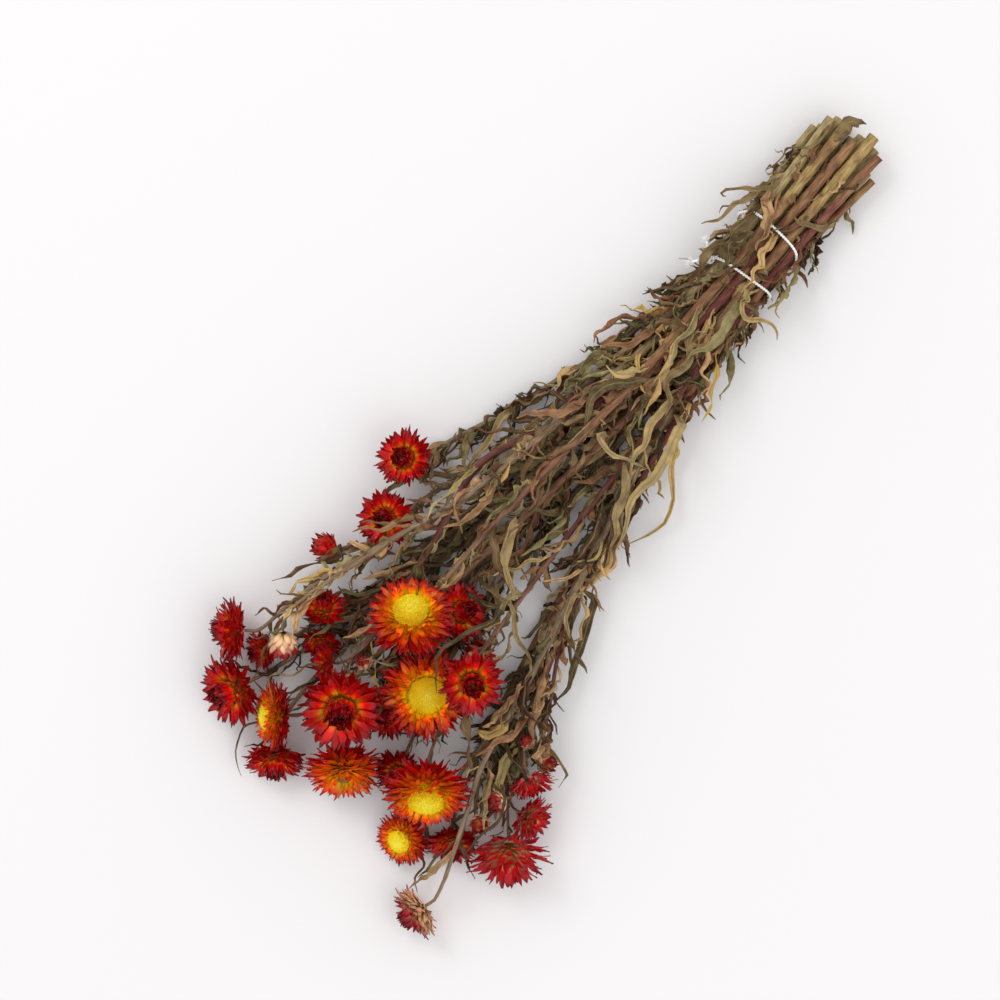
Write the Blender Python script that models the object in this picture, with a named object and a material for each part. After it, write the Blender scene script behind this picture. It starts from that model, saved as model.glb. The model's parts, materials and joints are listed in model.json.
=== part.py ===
"""A tied bunch of dried strawflowers, lying on a table.

Sixteen leafy stems, held by white string wound twice round them, carry thirty-three papery heads.
+X runs from the cut stem ends to the heads, +Z is up, and the table is at z = 0.
Lengths below are in millimetres, measured from the tie. The meshes are in metres.
"""

import math
import random
from dataclasses import dataclass

import bmesh
import bpy
import numpy as np
from mathutils import Matrix, Vector
from mathutils.bvhtree import BVHTree

MM = 0.001
SEED = 20

# The tie's place, measured from the middle of the bunch's own box
TIE_X = -156.0
TIE_Y = -5.0

# Space left between two pieces
GAP = 0.3
STRAND_GAP = 0.5

# The string binds the stems between these two places along the bunch
BOUND_FROM = -14.0
BOUND_TO = 21.0

GOLDEN_ANGLE = math.radians(137.5)

# Points read along each span of a smooth curve
CURVE_STEPS = 40

# Shorter edges are closed up after a union
SHORTEST_EDGE = 0.03


@dataclass(frozen=True)
class Bloom:
    """A flower head: where its rim is, which way it faces, and how far it has opened."""

    at: tuple[float, float, float]
    bearing: float
    tilt: float
    radius: float
    form: str
    colour: str = "crimson"

    def axis(self) -> Vector:
        """The unit direction that the head faces."""
        level = math.sin(math.radians(self.tilt))
        turn = math.radians(self.bearing)
        return Vector((level * math.cos(turn), level * math.sin(turn), math.cos(math.radians(self.tilt))))

    def seat(self) -> Vector:
        """The middle of the head's back, where the stalk ends."""
        return Vector(self.at) + self.axis() * FORMS[self.form].pole * self.radius

    def frame(self) -> Matrix:
        """The transform from the head's own axes to the bunch's."""
        turn = self.axis().to_track_quat("Z", "Y").to_matrix().to_4x4()
        return Matrix.Translation(Vector(self.at)) @ turn


@dataclass(frozen=True)
class Form:
    """A head's outline, in shares of its radius.

    Each whorl is (tip radius, tip height, notch radius, notch height, ring radius, ring height),
    where the ring is the root of the whorl above it.
    """

    bracts: int
    pole: float
    back: tuple[float, float]
    whorls: tuple[tuple[float, float, float, float, float, float], ...]
    crown: float


FORMS = {
    "open": Form(
        bracts=13,
        pole=-0.50,
        back=(0.30, -0.40),
        whorls=(
            (1.00, -0.20, 0.80, -0.19, 0.54, -0.08),
            (0.97, 0.06, 0.76, 0.04, 0.47, 0.06),
            (0.79, 0.33, 0.60, 0.25, 0.35, 0.16),
        ),
        crown=0.30,
    ),
    "cupped": Form(
        bracts=12,
        pole=-0.50,
        back=(0.32, -0.42),
        whorls=(
            (1.00, -0.05, 0.82, -0.09, 0.64, -0.02),
            (0.90, 0.30, 0.74, 0.22, 0.50, 0.22),
            (0.54, 0.58, 0.42, 0.48, 0.22, 0.40),
        ),
        crown=0.43,
    ),
    "small": Form(
        bracts=9,
        pole=-0.50,
        back=(0.32, -0.42),
        whorls=(
            (1.00, -0.05, 0.76, -0.09, 0.60, -0.02),
            (0.88, 0.32, 0.68, 0.22, 0.46, 0.22),
            (0.50, 0.60, 0.38, 0.48, 0.22, 0.42),
        ),
        crown=0.45,
    ),
    "star": Form(
        bracts=11,
        pole=-0.50,
        back=(0.25, -0.42),
        whorls=(
            (1.00, 0.00, 0.56, -0.10, 0.40, -0.02),
            (0.92, 0.30, 0.52, 0.16, 0.32, 0.12),
            (0.62, 0.55, 0.38, 0.38, 0.18, 0.30),
        ),
        crown=0.34,
    ),
    "bud": Form(
        bracts=8,
        pole=-1.00,
        back=(0.42, -0.75),
        whorls=(
            (1.00, -0.10, 0.84, -0.20, 0.78, 0.00),
            (0.74, 0.66, 0.58, 0.50, 0.34, 0.60),
        ),
        crown=0.80,
    ),
}

BLOOMS = {
    "bloom_01": Bloom((339, -97, 20), -51, 78, 17, "cupped"),
    "bloom_02": Bloom((365, -76, 21), -26, 50, 19, "cupped"),
    "bloom_03": Bloom((360, -50, 26), -51, 70, 18, "open", "orange"),
    "bloom_04": Bloom((380, -32, 13.5), 39, 65, 16, "cupped"),
    "bloom_05": Bloom((332, -22, 48), 39, 20, 22, "cupped"),
    "bloom_06": Bloom((360, 1, 25), 39, 52, 21, "open", "orange"),
    "bloom_07": Bloom((296, -65, 24), -141, 50, 13, "small"),
    "bloom_08": Bloom((314, -53, 11), 29, 50, 11, "small"),
    "bloom_09": Bloom((320, -46, 26), -51, 75, 11, "small"),
    "bloom_10": Bloom((326, -68, 33), 39, 110, 9, "bud", "pink"),
    "bloom_11": Bloom((338, -77, 9), -31, 55, 11, "small"),
    "bloom_12": Bloom((305, -29, 30), -111, 60, 5, "bud", "pink"),
    "bloom_13": Bloom((268, -26, 48), -141, 32, 23, "open", "orange"),
    "bloom_14": Bloom((251, -5, 26), 149, 40, 16, "cupped"),
    "bloom_15": Bloom((297, 8, 40), 69, 10, 24, "open", "orange"),
    "bloom_16": Bloom((276, 23, 60), 69, 12, 17, "cupped"),
    "bloom_17": Bloom((262, 17, 17), -171, 50, 9, "small"),
    "bloom_18": Bloom((340, 43, 38), 39, 45, 23, "open", "orange"),
    "bloom_19": Bloom((369, 48, 13), -16, 32, 15, "open", "orange"),
    "bloom_20": Bloom((321, -1, 13), -31, 30, 13, "cupped"),
    "bloom_21": Bloom((342, 24, 9.5), 19, 30, 13, "cupped"),
    "bloom_22": Bloom((354, 72, 10.9), 39, 50, 14, "cupped"),
    "bloom_23": Bloom((339, 99, 22), 39, 58, 22, "star"),
    "bloom_24": Bloom((315, 96, 16), 99, 60, 14, "star"),
    "bloom_25": Bloom((300, 84, 18), 59, 95, 12.5, "star", "pink"),
    "bloom_26": Bloom((283, 67, 26), -101, 60, 4.5, "bud", "pink"),
    "bloom_27": Bloom((334, 75, 31), 19, 35, 6, "bud", "pink"),
    "bloom_28": Bloom((396, 79, 13.8), -16, 80, 15, "cupped", "pink"),
    "bloom_29": Bloom((206, -82, 26), -51, 15, 15, "cupped"),
    "bloom_30": Bloom((238, -69, 27), -41, 15, 15.5, "cupped"),
    "bloom_31": Bloom((271, -86, 18), -71, 70, 8, "bud"),
    "bloom_32": Bloom((320, 75, 22), -31, 60, 7, "bud", "pink"),
    "bloom_33": Bloom((286, 84, 12), 119, 60, 6.5, "bud", "pink"),
}


@dataclass(frozen=True)
class Stem:
    """A stem: its place in the tie, how thick it is, where it is cut, and the heads it carries."""

    slot: tuple[float, float]
    radius: float
    cut: float
    splay: tuple[float, float]
    heads: tuple[str, ...]
    via: tuple[tuple[float, float, float], ...] = ()
    leaves: int = 9
    colour: str = "olive"


STEMS = {
    "stem_01": Stem((-20.5, 12.5), 2.6, -76, (-1, -2), ("bloom_29",), leaves=8),
    "stem_02": Stem((-16.0, 19.0), 3.0, -84, (-1, -1), ("bloom_30", "bloom_31"), leaves=9),
    "stem_03": Stem(
        (-13.5, 12.5), 3.0, -88, (0, -2), ("bloom_01", "bloom_10"), via=((188, -34, 42), (229, -46, 42))
    ),
    "stem_04": Stem((-17.0, 5.9), 3.1, -80, (-1, -3.2), ("bloom_02", "bloom_11")),
    "stem_05": Stem((-10.0, 5.9), 2.9, -90, (1, -3.4), ("bloom_07", "bloom_08"), leaves=8),
    "stem_06": Stem(
        (-9.0, 19.0), 3.2, -86, (0, 0), ("bloom_13",), via=((60, -9, 26), (112, -10, 34), (178, -15, 38)),
        colour="brown",
    ),
    "stem_07": Stem(
        (-2.0, 19.2), 3.0, -82, (1, 0), ("bloom_03", "bloom_09"),
        via=((118, -21, 28), (162, -42, 30), (191, -50, 30), (222, -42, 29)), colour="mahogany",
    ),
    "stem_08": Stem((-6.5, 12.5), 2.8, -78, (0, -2), ("bloom_04",)),
    "stem_09": Stem((5.0, 19.0), 3.2, -91, (1, 0), ("bloom_05", "bloom_12"), colour="brown"),
    "stem_10": Stem((-3.0, 5.9), 3.2, -85, (2, -3.1), ("bloom_06", "bloom_20")),
    "stem_11": Stem((0.5, 12.5), 3.0, -88, (1, -2), ("bloom_14", "bloom_17"), leaves=8),
    "stem_12": Stem((4.0, 5.9), 3.2, -80, (2, -3.1), ("bloom_15", "bloom_21")),
    "stem_13": Stem((11.5, 18.6), 2.6, -84, (3, -1), ("bloom_16", "bloom_18"), colour="mahogany"),
    "stem_14": Stem(
        (7.5, 12.5), 3.0, -87, (3, -2), ("bloom_28", "bloom_19"),
        via=((273, 46, 26), (316, 54, 28), (348, 68, 32)),
    ),
    "stem_15": Stem(
        (11.0, 5.9), 3.2, -76, (4, -3.1), ("bloom_22", "bloom_27", "bloom_32", "bloom_23"), colour="brown"
    ),
    "stem_16": Stem(
        (14.2, 12.2), 2.2, -73, (6, -2), ("bloom_25", "bloom_24", "bloom_26", "bloom_33"), colour="mahogany"
    ),
}

# Leaves that stand out: the stem, the widest place, and the route, with its root on the stem
RIBBONS = {
    "long yellow ribbon": ("stem_15", 5.0, ((83, 19, 18), (105, 27, 14), (136, 48, 7), (167, 44, 6))),
    "broad pale leaf": ("stem_09", 9.0, ((194, -14, 37), (207, -9, 40), (220, 0, 41), (228, 14, 38))),
    "leaf under it": ("stem_10", 6.0, ((232, 15, 34), (241, 28, 33), (249, 40, 31), (260, 46, 26))),
    "ring at the cut ends": ("stem_01", 3.5, ((-32, -19, 20), (-26, -31, 22), (-17, -38, 16), (-15, -34, 12))),
    "tail at the cut ends": ("stem_04", 3.5, ((-34, -20, 10), (-24, -27, 9), (-16, -31, 9), (-8, -34, 8))),
    "thread at the end": ("stem_02", 2.5, ((-71, -16, 26), (-60, -23, 28), (-49, -27, 20), (-43, -27, 17))),
    "hook over the tie": ("stem_13", 4.5, ((24, 6, 26), (30, 14, 27), (24, 27, 20), (27, 36, 9))),
    "hook at the heads": ("stem_07", 3.0, ((331, -55, 40), (338, -60, 42), (346, -57, 43), (354, -56, 44))),
    "leaf at the left corner": ("stem_04", 4.5, ((356, -44, 18), (374, -58, 10), (389, -52, 6), (398, -42, 5))),
    "leaf over the heads": ("stem_09", 4.5, ((238, 10, 56), (262, 2, 66), (276, 1, 70), (291, 12, 71))),
    "leaf at the lone head": ("stem_14", 4.5, ((313, 76, 32), (323, 80, 35), (343, 79, 34), (354, 78, 31))),
    "hook at the right": ("stem_15", 4.5, ((272, 62, 18), (278, 79, 18), (284, 93, 14), (294, 98, 8))),
    "hanging leaf": ("stem_16", 4.0, ((205, 37, 18), (217, 44, 14), (224, 50, 10), (228, 57, 7))),
    "leaf across the bunch": ("stem_11", 5.0, ((128, -6, 36), (132, 3, 39), (132, 13, 39), (128, 24, 34))),
    "pale leaf along the edge": ("stem_15", 6.0, ((98, 24, 22), (125, 28, 24), (149, 30, 21), (173, 39, 15))),
    "leaf on the outer twig": ("stem_16", 5.0, ((200, 47, 12), (222, 56, 12), (244, 65, 12), (258, 67, 10))),
}


def path(points, tangents, count):
    """Equally spaced points along a smooth curve through the given points.

    Args:
        points: The places that the curve passes.
        tangents: The first and last direction, each as long as its pull.
        count: How many points to return.

    Returns:
        An array of shape (count, 3).
    """
    points = np.array(points, float)
    spans = np.linalg.norm(np.diff(points, axis=0), axis=1)
    slopes = np.empty_like(points)
    slopes[0] = np.array(tangents[0]) * spans[0]
    slopes[-1] = np.array(tangents[1]) * spans[-1]
    for i in range(1, len(points) - 1):
        slopes[i] = (points[i + 1] - points[i - 1]) / (spans[i] + spans[i - 1])
    dense = []
    for i, span in enumerate(spans):
        first = slopes[i] if i == 0 else slopes[i] * span
        last = slopes[i + 1] if i == len(spans) - 1 else slopes[i + 1] * span
        for t in np.linspace(0, 1, CURVE_STEPS, endpoint=i == len(spans) - 1):
            dense.append(
                (2 * t**3 - 3 * t**2 + 1) * points[i]
                + (t**3 - 2 * t**2 + t) * first
                + (-2 * t**3 + 3 * t**2) * points[i + 1]
                + (t**3 - t**2) * last
            )
    dense = np.array(dense)
    walked = np.concatenate([[0], np.cumsum(np.linalg.norm(np.diff(dense, axis=0), axis=1))])
    wanted = np.linspace(0, walked[-1], count)
    return np.stack([np.interp(wanted, walked, dense[:, k]) for k in range(3)], axis=1)


class Strand:
    """One stem or side stalk: a line of points with a radius at each, and the head at its end."""

    MAIN_POINTS = 15
    BRANCH_POINTS = 8
    TIP_RADIUS = 1.2
    BRANCH_TIP_RADIUS = 1.0
    BRANCH_SHARE = 0.72
    TAPER = 0.6
    SPLAY = 1.05
    # The straight end of a stalk under its head, in head radii
    NECK = 0.45
    # How hard a line is drawn along its first and last direction
    LEAVING = 0.9
    ARRIVING = 0.3
    BRANCH_LEAVING = 0.7
    BRANCH_ARRIVING = 0.45
    # How far before its head a side stalk leaves the stem
    SMALL_REACH = 70.0
    LARGE_REACH = 95.0
    SMALL_HEAD = 10.0
    FIRST_FORK = 6
    LAST_FORK = 4

    def __init__(self, node, head, points, radii, held, parent=None, fork=0):
        self.node = node
        self.head = head
        self.points = points
        self.radii = radii
        self.held = held
        self.parent = parent
        self.fork = fork

    @classmethod
    def main(cls, name, stem):
        """The stem itself, from its cut end through the tie to its first head."""
        across, height = stem.slot
        head = BLOOMS[stem.heads[0]]
        tip = head.seat() - head.axis() * GAP
        neck = tip - head.axis() * cls.NECK * head.radius
        neck.z = max(neck.z, cls.TIP_RADIUS)
        leaves_tie = (BOUND_TO, across, height)
        cut = (stem.cut, across * cls.SPLAY + stem.splay[0], height + stem.splay[1])
        middle = [(cut[k] + (BOUND_FROM, across, height)[k]) / 2 for k in range(3)]
        bound = np.array([cut, middle, (BOUND_FROM, across, height)])
        free = path(
            [leaves_tie, *stem.via, neck],
            [(cls.LEAVING, 0, 0), np.array(head.axis()) * cls.ARRIVING],
            cls.MAIN_POINTS,
        )
        points = np.concatenate([bound, free, [tip]])
        share = np.linspace(0, 1, len(points))
        taper = (1 - share) ** cls.TAPER
        radii = stem.radius * taper + cls.TIP_RADIUS * (1 - taper)
        held = np.zeros(len(points), bool)
        held[:4] = True
        held[-2:] = True
        return cls(name, stem.heads[0], points, radii, held)

    @classmethod
    def branch(cls, name, head_name, parent):
        """A side stalk, from the stem to another head."""
        head = BLOOMS[head_name]
        tip = np.array(head.seat() - head.axis() * GAP)
        neck = tip - np.array(head.axis()) * cls.NECK * head.radius
        neck[2] = max(neck[2], cls.TIP_RADIUS)
        reach = cls.LARGE_REACH if head.radius > cls.SMALL_HEAD else cls.SMALL_REACH
        distance = np.linalg.norm(parent.points[:, :2] - (tip[:2] - (reach, 0)), axis=1)
        fork = int(np.clip(np.argmin(distance), cls.FIRST_FORK, len(parent.points) - cls.LAST_FORK))
        along = parent.points[fork + 1] - parent.points[fork]
        along /= np.linalg.norm(along)
        pulls = [along * cls.BRANCH_LEAVING, np.array(head.axis()) * cls.BRANCH_ARRIVING]
        bend = path([parent.points[fork], neck], pulls, cls.BRANCH_POINTS)
        points = np.concatenate([bend, [tip]])
        radii = np.linspace(parent.radii[fork] * cls.BRANCH_SHARE, cls.BRANCH_TIP_RADIUS, len(points))
        held = np.zeros(len(points), bool)
        held[-2:] = True
        return cls(name, head_name, points, radii, held, parent, fork)


def nearest_between(p1, q1, p2, q2):
    """Where two sets of segments come nearest, as shares along each segment."""
    d1 = q1 - p1
    d2 = q2 - p2
    r = p1 - p2
    a = (d1 * d1).sum(1)
    e = (d2 * d2).sum(1)
    f = (d2 * r).sum(1)
    c = (d1 * r).sum(1)
    b = (d1 * d2).sum(1)
    spread = np.maximum(a * e - b * b, 1e-9)
    s = np.clip((b * f - c * e) / spread, 0, 1)
    t = np.clip((b * s + f) / e, 0, 1)
    s = np.clip((b * t - c) / a, 0, 1)
    return s, t


class Clearance:
    """Moves strands apart by small steps until none touches another, a head or the table."""

    ROUNDS = 260
    NEAR = 34.0
    HEAD_MARGIN = 1.0
    HEAD_PUSH = 0.3
    HEAD_DEPTH = 0.66
    SAMPLES = (0.0, 0.35, 0.7)
    SMOOTHING = 0.22
    STRAND_PUSH = 0.65
    SUNK = 0.35
    PAIRS_EVERY = 8

    def __init__(self, strands):
        self.strands = strands
        self.first = np.cumsum([0] + [len(s.points) for s in strands])
        self.points = np.concatenate([s.points for s in strands])
        self.origin = self.points.copy()
        self.radii = np.concatenate([s.radii for s in strands])
        self.held = np.concatenate([s.held for s in strands])
        self.segments = np.concatenate(
            [np.arange(a, b - 1) for a, b in zip(self.first[:-1], self.first[1:], strict=True)]
        )
        ends = [(s.head, b - 1) for s, b in zip(strands, self.first[1:], strict=True)]
        self.own_tip = {
            head: (self.segments >= end - 3) & (self.segments < end) for head, end in ends
        }
        nodes = {name: k for k, name in enumerate(STEMS)}
        owners = np.concatenate([np.full(len(s.points), nodes[s.node]) for s in strands])
        one, two = np.triu_indices(len(self.segments), 1)
        apart = owners[self.segments[one]] != owners[self.segments[two]]
        self.one = self.segments[one[apart]]
        self.two = self.segments[two[apart]]

    def near_pairs(self):
        """The pairs of segments whose middles are close enough to matter."""
        middle = (self.points[:-1] + self.points[1:]) / 2
        gap = np.linalg.norm(middle[self.one] - middle[self.two], axis=1)
        close = gap < self.NEAR
        return self.one[close], self.two[close]

    def part_strands(self, one, two):
        """Pushes each pair of segments that is too close apart by half of what it lacks."""
        p = self.points
        s, t = nearest_between(p[one], p[one + 1], p[two], p[two + 1])
        on_one = p[one] + s[:, None] * (p[one + 1] - p[one])
        on_two = p[two] + t[:, None] * (p[two + 1] - p[two])
        between = on_one - on_two
        distance = np.linalg.norm(between, axis=1)
        need = np.maximum(self.radii[one], self.radii[one + 1])
        need = need + np.maximum(self.radii[two], self.radii[two + 1]) + STRAND_GAP
        lacking = distance < need
        if not lacking.any():
            return
        one, two, s, t = one[lacking], two[lacking], s[lacking], t[lacking]
        away = between[lacking] / np.maximum(distance[lacking], 1e-3)[:, None]
        flat = distance[lacking] < 0.05
        away[flat] = (0, 0, 1)
        step = away * (need[lacking] - distance[lacking])[:, None] * self.STRAND_PUSH
        move = np.zeros_like(p)
        count = np.zeros(len(p))
        for index, share, sign in ((one, 1 - s, 1), (one + 1, s, 1), (two, 1 - t, -1), (two + 1, t, -1)):
            np.add.at(move, index, sign * step * share[:, None])
            np.add.at(count, index, share)
        free = ~self.held
        p[free] += move[free] / np.maximum(count[free], 1)[:, None]

    def leave_heads(self):
        """Pushes strands out of the heads, each taken as a flattened ball."""
        for share in self.SAMPLES:
            a, b = self.segments, self.segments + 1
            places = self.points[a] * (1 - share) + self.points[b] * share
            for name, head in BLOOMS.items():
                size = np.array([1.0, 1.0, self.HEAD_DEPTH]) * head.radius
                size = size + self.HEAD_MARGIN + self.radii[a][:, None]
                turn = np.array(head.frame().to_3x3())
                local = (places - np.array(head.at)) @ turn
                depth = np.linalg.norm(local / size, axis=1)
                inside = (depth < 1) & ~self.own_tip[name]
                if not inside.any():
                    continue
                out = local[inside] / np.maximum(depth[inside], 0.2)[:, None]
                step = ((out - local[inside]) @ turn.T) * self.HEAD_PUSH
                for index in (a[inside], b[inside]):
                    free = ~self.held[index]
                    self.points[index[free]] += step[free]

    def run(self):
        """Runs every round, then hands each strand its points."""
        for turn in range(self.ROUNDS):
            if turn % self.PAIRS_EVERY == 0:
                one, two = self.near_pairs()
            self.part_strands(one, two)
            self.leave_heads()
            shift = self.points - self.origin
            smooth = shift.copy()
            smooth[1:-1] = (shift[:-2] + shift[2:]) / 2
            inner = ~self.held
            inner[self.first[:-1]] = False
            inner[self.first[1:] - 1] = False
            self.points[inner] += (smooth - shift)[inner] * self.SMOOTHING
            low = self.radii - self.SUNK
            self.points[inner, 2] = np.maximum(self.points[inner, 2], low[inner])
            for k, strand in enumerate(self.strands):
                if strand.parent is not None:
                    root = self.first[self.strands.index(strand.parent)] + strand.fork
                    self.points[root] = (self.points[root] + self.points[self.first[k]]) / 2
                    self.points[self.first[k]] = self.points[root]
        for k, strand in enumerate(self.strands):
            strand.points = self.points[self.first[k]:self.first[k + 1]].copy()


class Solid:
    """A closed piece of mesh in millimetres, with the node that it belongs to."""

    def __init__(self, node, vertices, faces):
        self.node = node
        self.vertices = [Vector(v) for v in vertices]
        self.faces = faces
        self.low = [min(v[k] for v in self.vertices) - GAP for k in range(3)]
        self.high = [max(v[k] for v in self.vertices) + GAP for k in range(3)]
        self.tree = BVHTree.FromPolygons(self.vertices, faces)

    def meets(self, other):
        """Whether this piece and another cross or touch."""
        apart = any(self.low[k] > other.high[k] or other.low[k] > self.high[k] for k in range(3))
        return not apart and bool(self.tree.overlap(other.tree))


def tube(points, radii, sides, closed=False):
    """A round bar along a line of points, as (vertices, faces)."""
    count = len(points)
    points = [Vector(p) for p in points]
    vertices = []
    side = None
    for i, point in enumerate(points):
        before = points[i - 1] if i or closed else points[0]
        after = points[(i + 1) % count] if i < count - 1 or closed else points[-1]
        ahead = (after - before).normalized()
        if side is None:
            side = ahead.orthogonal().normalized()
        side = (side - ahead * side.dot(ahead)).normalized()
        up = ahead.cross(side)
        for k in range(sides):
            angle = 2 * math.pi * (k + 0.5) / sides
            vertices.append(point + (side * math.cos(angle) + up * math.sin(angle)) * radii[i])
    faces = []
    for i in range(count if closed else count - 1):
        here, there = i * sides, (i + 1) % count * sides
        for k in range(sides):
            after = (k + 1) % sides
            faces.append((here + k, here + after, there + after, there + k))
    if not closed:
        faces.append(tuple(reversed(range(sides))))
        faces.append(tuple((count - 1) * sides + k for k in range(sides)))
    return vertices, faces


def blade(points, widths, normals, thickness, fold, grow=0.0):
    """A leaf blade: flat-topped, with a rib below, pointed at its tip, as (vertices, faces)."""
    points = [Vector(p) for p in points]
    stations = len(points) - 2
    ahead = (points[-1] - points[-2]).normalized()
    vertices = [points[0] - (points[1] - points[0]).normalized() * grow]
    for i in range(1, stations + 1):
        along = (points[i + 1] - points[i - 1]).normalized()
        normal = (normals[i] - along * normals[i].dot(along)).normalized()
        side = along.cross(normal) * (widths[i] / 2 + grow)
        lift = normal * (fold + grow)
        vertices += [points[i] + side + lift, points[i] - side + lift, points[i] - normal * (thickness + grow)]
    vertices.append(points[-1] + ahead * grow)
    faces = [(0, 2, 1), (0, 3, 2), (0, 1, 3)]
    for i in range(stations - 1):
        a = 1 + 3 * i
        for k, m in ((0, 1), (1, 2), (2, 0)):
            faces.append((a + k, a + m, a + 3 + m))
            faces.append((a + k, a + 3 + m, a + 3 + k))
    last = 1 + 3 * (stations - 1)
    tip = len(vertices) - 1
    faces += [(last, last + 1, tip), (last + 1, last + 2, tip), (last + 2, last, tip)]
    return vertices, faces


class Leaves:
    """Adds leaves to the stems, one at a time, each where it meets nothing but its own stem."""

    TRIES = 14
    THICKNESS = 0.9
    FOLD = 0.25
    LIFT_STEP = 2.0
    STALK_SHARE = 0.75
    RIBBON_NORMAL = Vector((0.1, 0.2, 1.0))
    RIBBON_WIDTHS = (0, 0.7, 1.0, 0.8, 0.5, 0)
    STEPS = 4
    LEAN = (14, 48)
    LENGTH = (28, 60)
    WIDTH = (3.6, 8.0)
    CURL = (-0.3, 0.15)
    SWAY = (-0.24, 0.24)
    DROOP = (0.0, 0.1)
    TWIST = (-0.5, 0.5)
    RETRY_TURN = 1.1
    # How far leaves reach along the bunch, then to its left and right at places along it
    FURTHEST = (-94.0, 396.0)
    OUTLINE = ((-95, -24, 32), (-40, -46, 32), (0, -36, 30), (100, -46, 38), (200, -76, 56), (300, -98, 95))

    def __init__(self, strands, solids, rng):
        self.strands = strands
        self.solids = solids
        self.rng = rng
        self.dropped = 0

    def fits(self, node, points, widths, normals):
        """Whether a blade clears the table and every other node."""
        if min(p[2] for p in points[1:]) < self.THICKNESS + GAP:
            return False
        along, left, right = zip(*self.OUTLINE, strict=True)
        for point in points[1:]:
            if not np.interp(point.x, along, left) < point.y < np.interp(point.x, along, right):
                return False
            if not self.FURTHEST[0] < point.x < self.FURTHEST[1]:
                return False
        trial = Solid(node, *blade(points, widths, normals, self.THICKNESS, self.FOLD, GAP))
        tail = Solid(node, *blade(points[1:], widths[1:], normals[1:], self.THICKNESS, self.FOLD))
        return not any((tail if other.node == node else trial).meets(other) for other in self.solids)

    def add(self, node, points, widths, normals):
        """Keeps a blade as a piece of its node."""
        solid = Solid(node, *blade(points, widths, normals, self.THICKNESS, self.FOLD))
        self.solids.append(solid)

    def on_ribbons(self):
        """Places the leaves that stand out, each raised until it clears what is under it."""
        for node, width, route in RIBBONS.values():
            own = [s for s in self.strands if s.node == node]
            centre = np.concatenate([s.points for s in own])
            root = Vector(centre[np.argmin(np.linalg.norm(centre - np.array(route[0]), axis=1))])
            widths = [width * share for share in self.RIBBON_WIDTHS]
            for lift in range(self.TRIES):
                raised = [Vector(p) + Vector((0, 0, lift * self.LIFT_STEP)) for p in route]
                points = [root, root.lerp(raised[0], self.STALK_SHARE), *raised]
                normals = [self.RIBBON_NORMAL] * len(points)
                if self.fits(node, points, widths, normals):
                    self.add(node, points, widths, normals)
                    break
            else:
                self.dropped += 1

    def candidate(self, strand, share, turn):
        """A random dried leaf from a place on a strand: its points, widths and normals."""
        rng = self.rng
        place = share * (len(strand.points) - 1)
        index = int(place)
        root = Vector(strand.points[index]).lerp(Vector(strand.points[index + 1]), place - index)
        along = (Vector(strand.points[index + 1]) - Vector(strand.points[index])).normalized()
        out = along.orthogonal().normalized()
        out.rotate(Matrix.Rotation(turn, 3, along))
        lean = math.radians(rng.uniform(*self.LEAN))
        way = along * math.cos(lean) + out * math.sin(lean)
        step = rng.uniform(*self.LENGTH) / self.STEPS
        curl = out * rng.uniform(*self.CURL) + along.cross(out) * rng.uniform(*self.SWAY)
        curl += Vector((0, 0, -rng.uniform(*self.DROOP)))
        points = [root]
        for _ in range(self.STEPS):
            points.append(points[-1] + way * step)
            way = (way + curl).normalized()
        width = rng.uniform(*self.WIDTH)
        widths = [0, width * 0.75, width, width * rng.uniform(0.5, 0.8), 0]
        twist = rng.uniform(*self.TWIST)
        normals = []
        for i in range(self.STEPS + 1):
            normal = out.copy()
            normal.rotate(Matrix.Rotation(twist * i, 3, along))
            normals.append(normal)
        return points, widths, normals

    def on_strand(self, strand, count, begin, end):
        """Spaces leaves along a strand in a spiral, and leaves out what finds no room."""
        for k in range(count):
            share = begin + (end - begin) * (k + self.rng.uniform(0.2, 0.8)) / count
            for attempt in range(self.TRIES):
                turn = k * GOLDEN_ANGLE + attempt * self.RETRY_TURN
                points, widths, normals = self.candidate(strand, share, turn)
                if self.fits(strand.node, points, widths, normals):
                    self.add(strand.node, points, widths, normals)
                    break
            else:
                self.dropped += 1


def bloom_mesh(head, rng):
    """A head as one closed mesh: notched whorls of bracts round a core, in the bunch's axes."""
    form = FORMS[head.form]
    count = form.bracts
    vertices = []

    def ring(radius, height, phase, wobble=0.0):
        first = len(vertices)
        for k in range(count):
            angle = 2 * math.pi * (k + phase) / count
            reach = radius * head.radius * (1 + rng.uniform(-wobble, wobble))
            rise = height * head.radius + rng.uniform(-wobble, wobble) * head.radius * 0.5
            vertices.append(Vector((reach * math.cos(angle), reach * math.sin(angle), rise)))
        return first

    pole = len(vertices)
    vertices.append(Vector((0, 0, form.pole * head.radius)))
    phase = 0.0
    below = ring(*form.back, phase)
    faces = [(pole, below + (k + 1) % count, below + k) for k in range(count)]
    for tip_r, tip_z, notch_r, notch_z, ring_r, ring_z in form.whorls:
        tips = ring(tip_r, tip_z, phase + 0.5, 0.07)
        notches = ring(notch_r, notch_z, phase + 1.0, 0.02)
        above = ring(ring_r, ring_z, phase + 0.5)
        for k in range(count):
            after = (k + 1) % count
            faces.append((below + k, below + after, tips + k))
            faces.append((below + after, notches + k, tips + k))
            faces.append((below + after, tips + after, notches + k))
            faces.append((above + k, tips + k, notches + k))
            faces.append((above + k, notches + k, above + after))
            faces.append((notches + k, tips + after, above + after))
        below = above
        phase += 0.5
    crown = len(vertices)
    vertices.append(Vector((0, 0, form.crown * head.radius)))
    faces += [(below + k, below + (k + 1) % count, crown) for k in range(count)]
    frame = head.frame()
    return [frame @ v for v in vertices], faces


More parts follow.
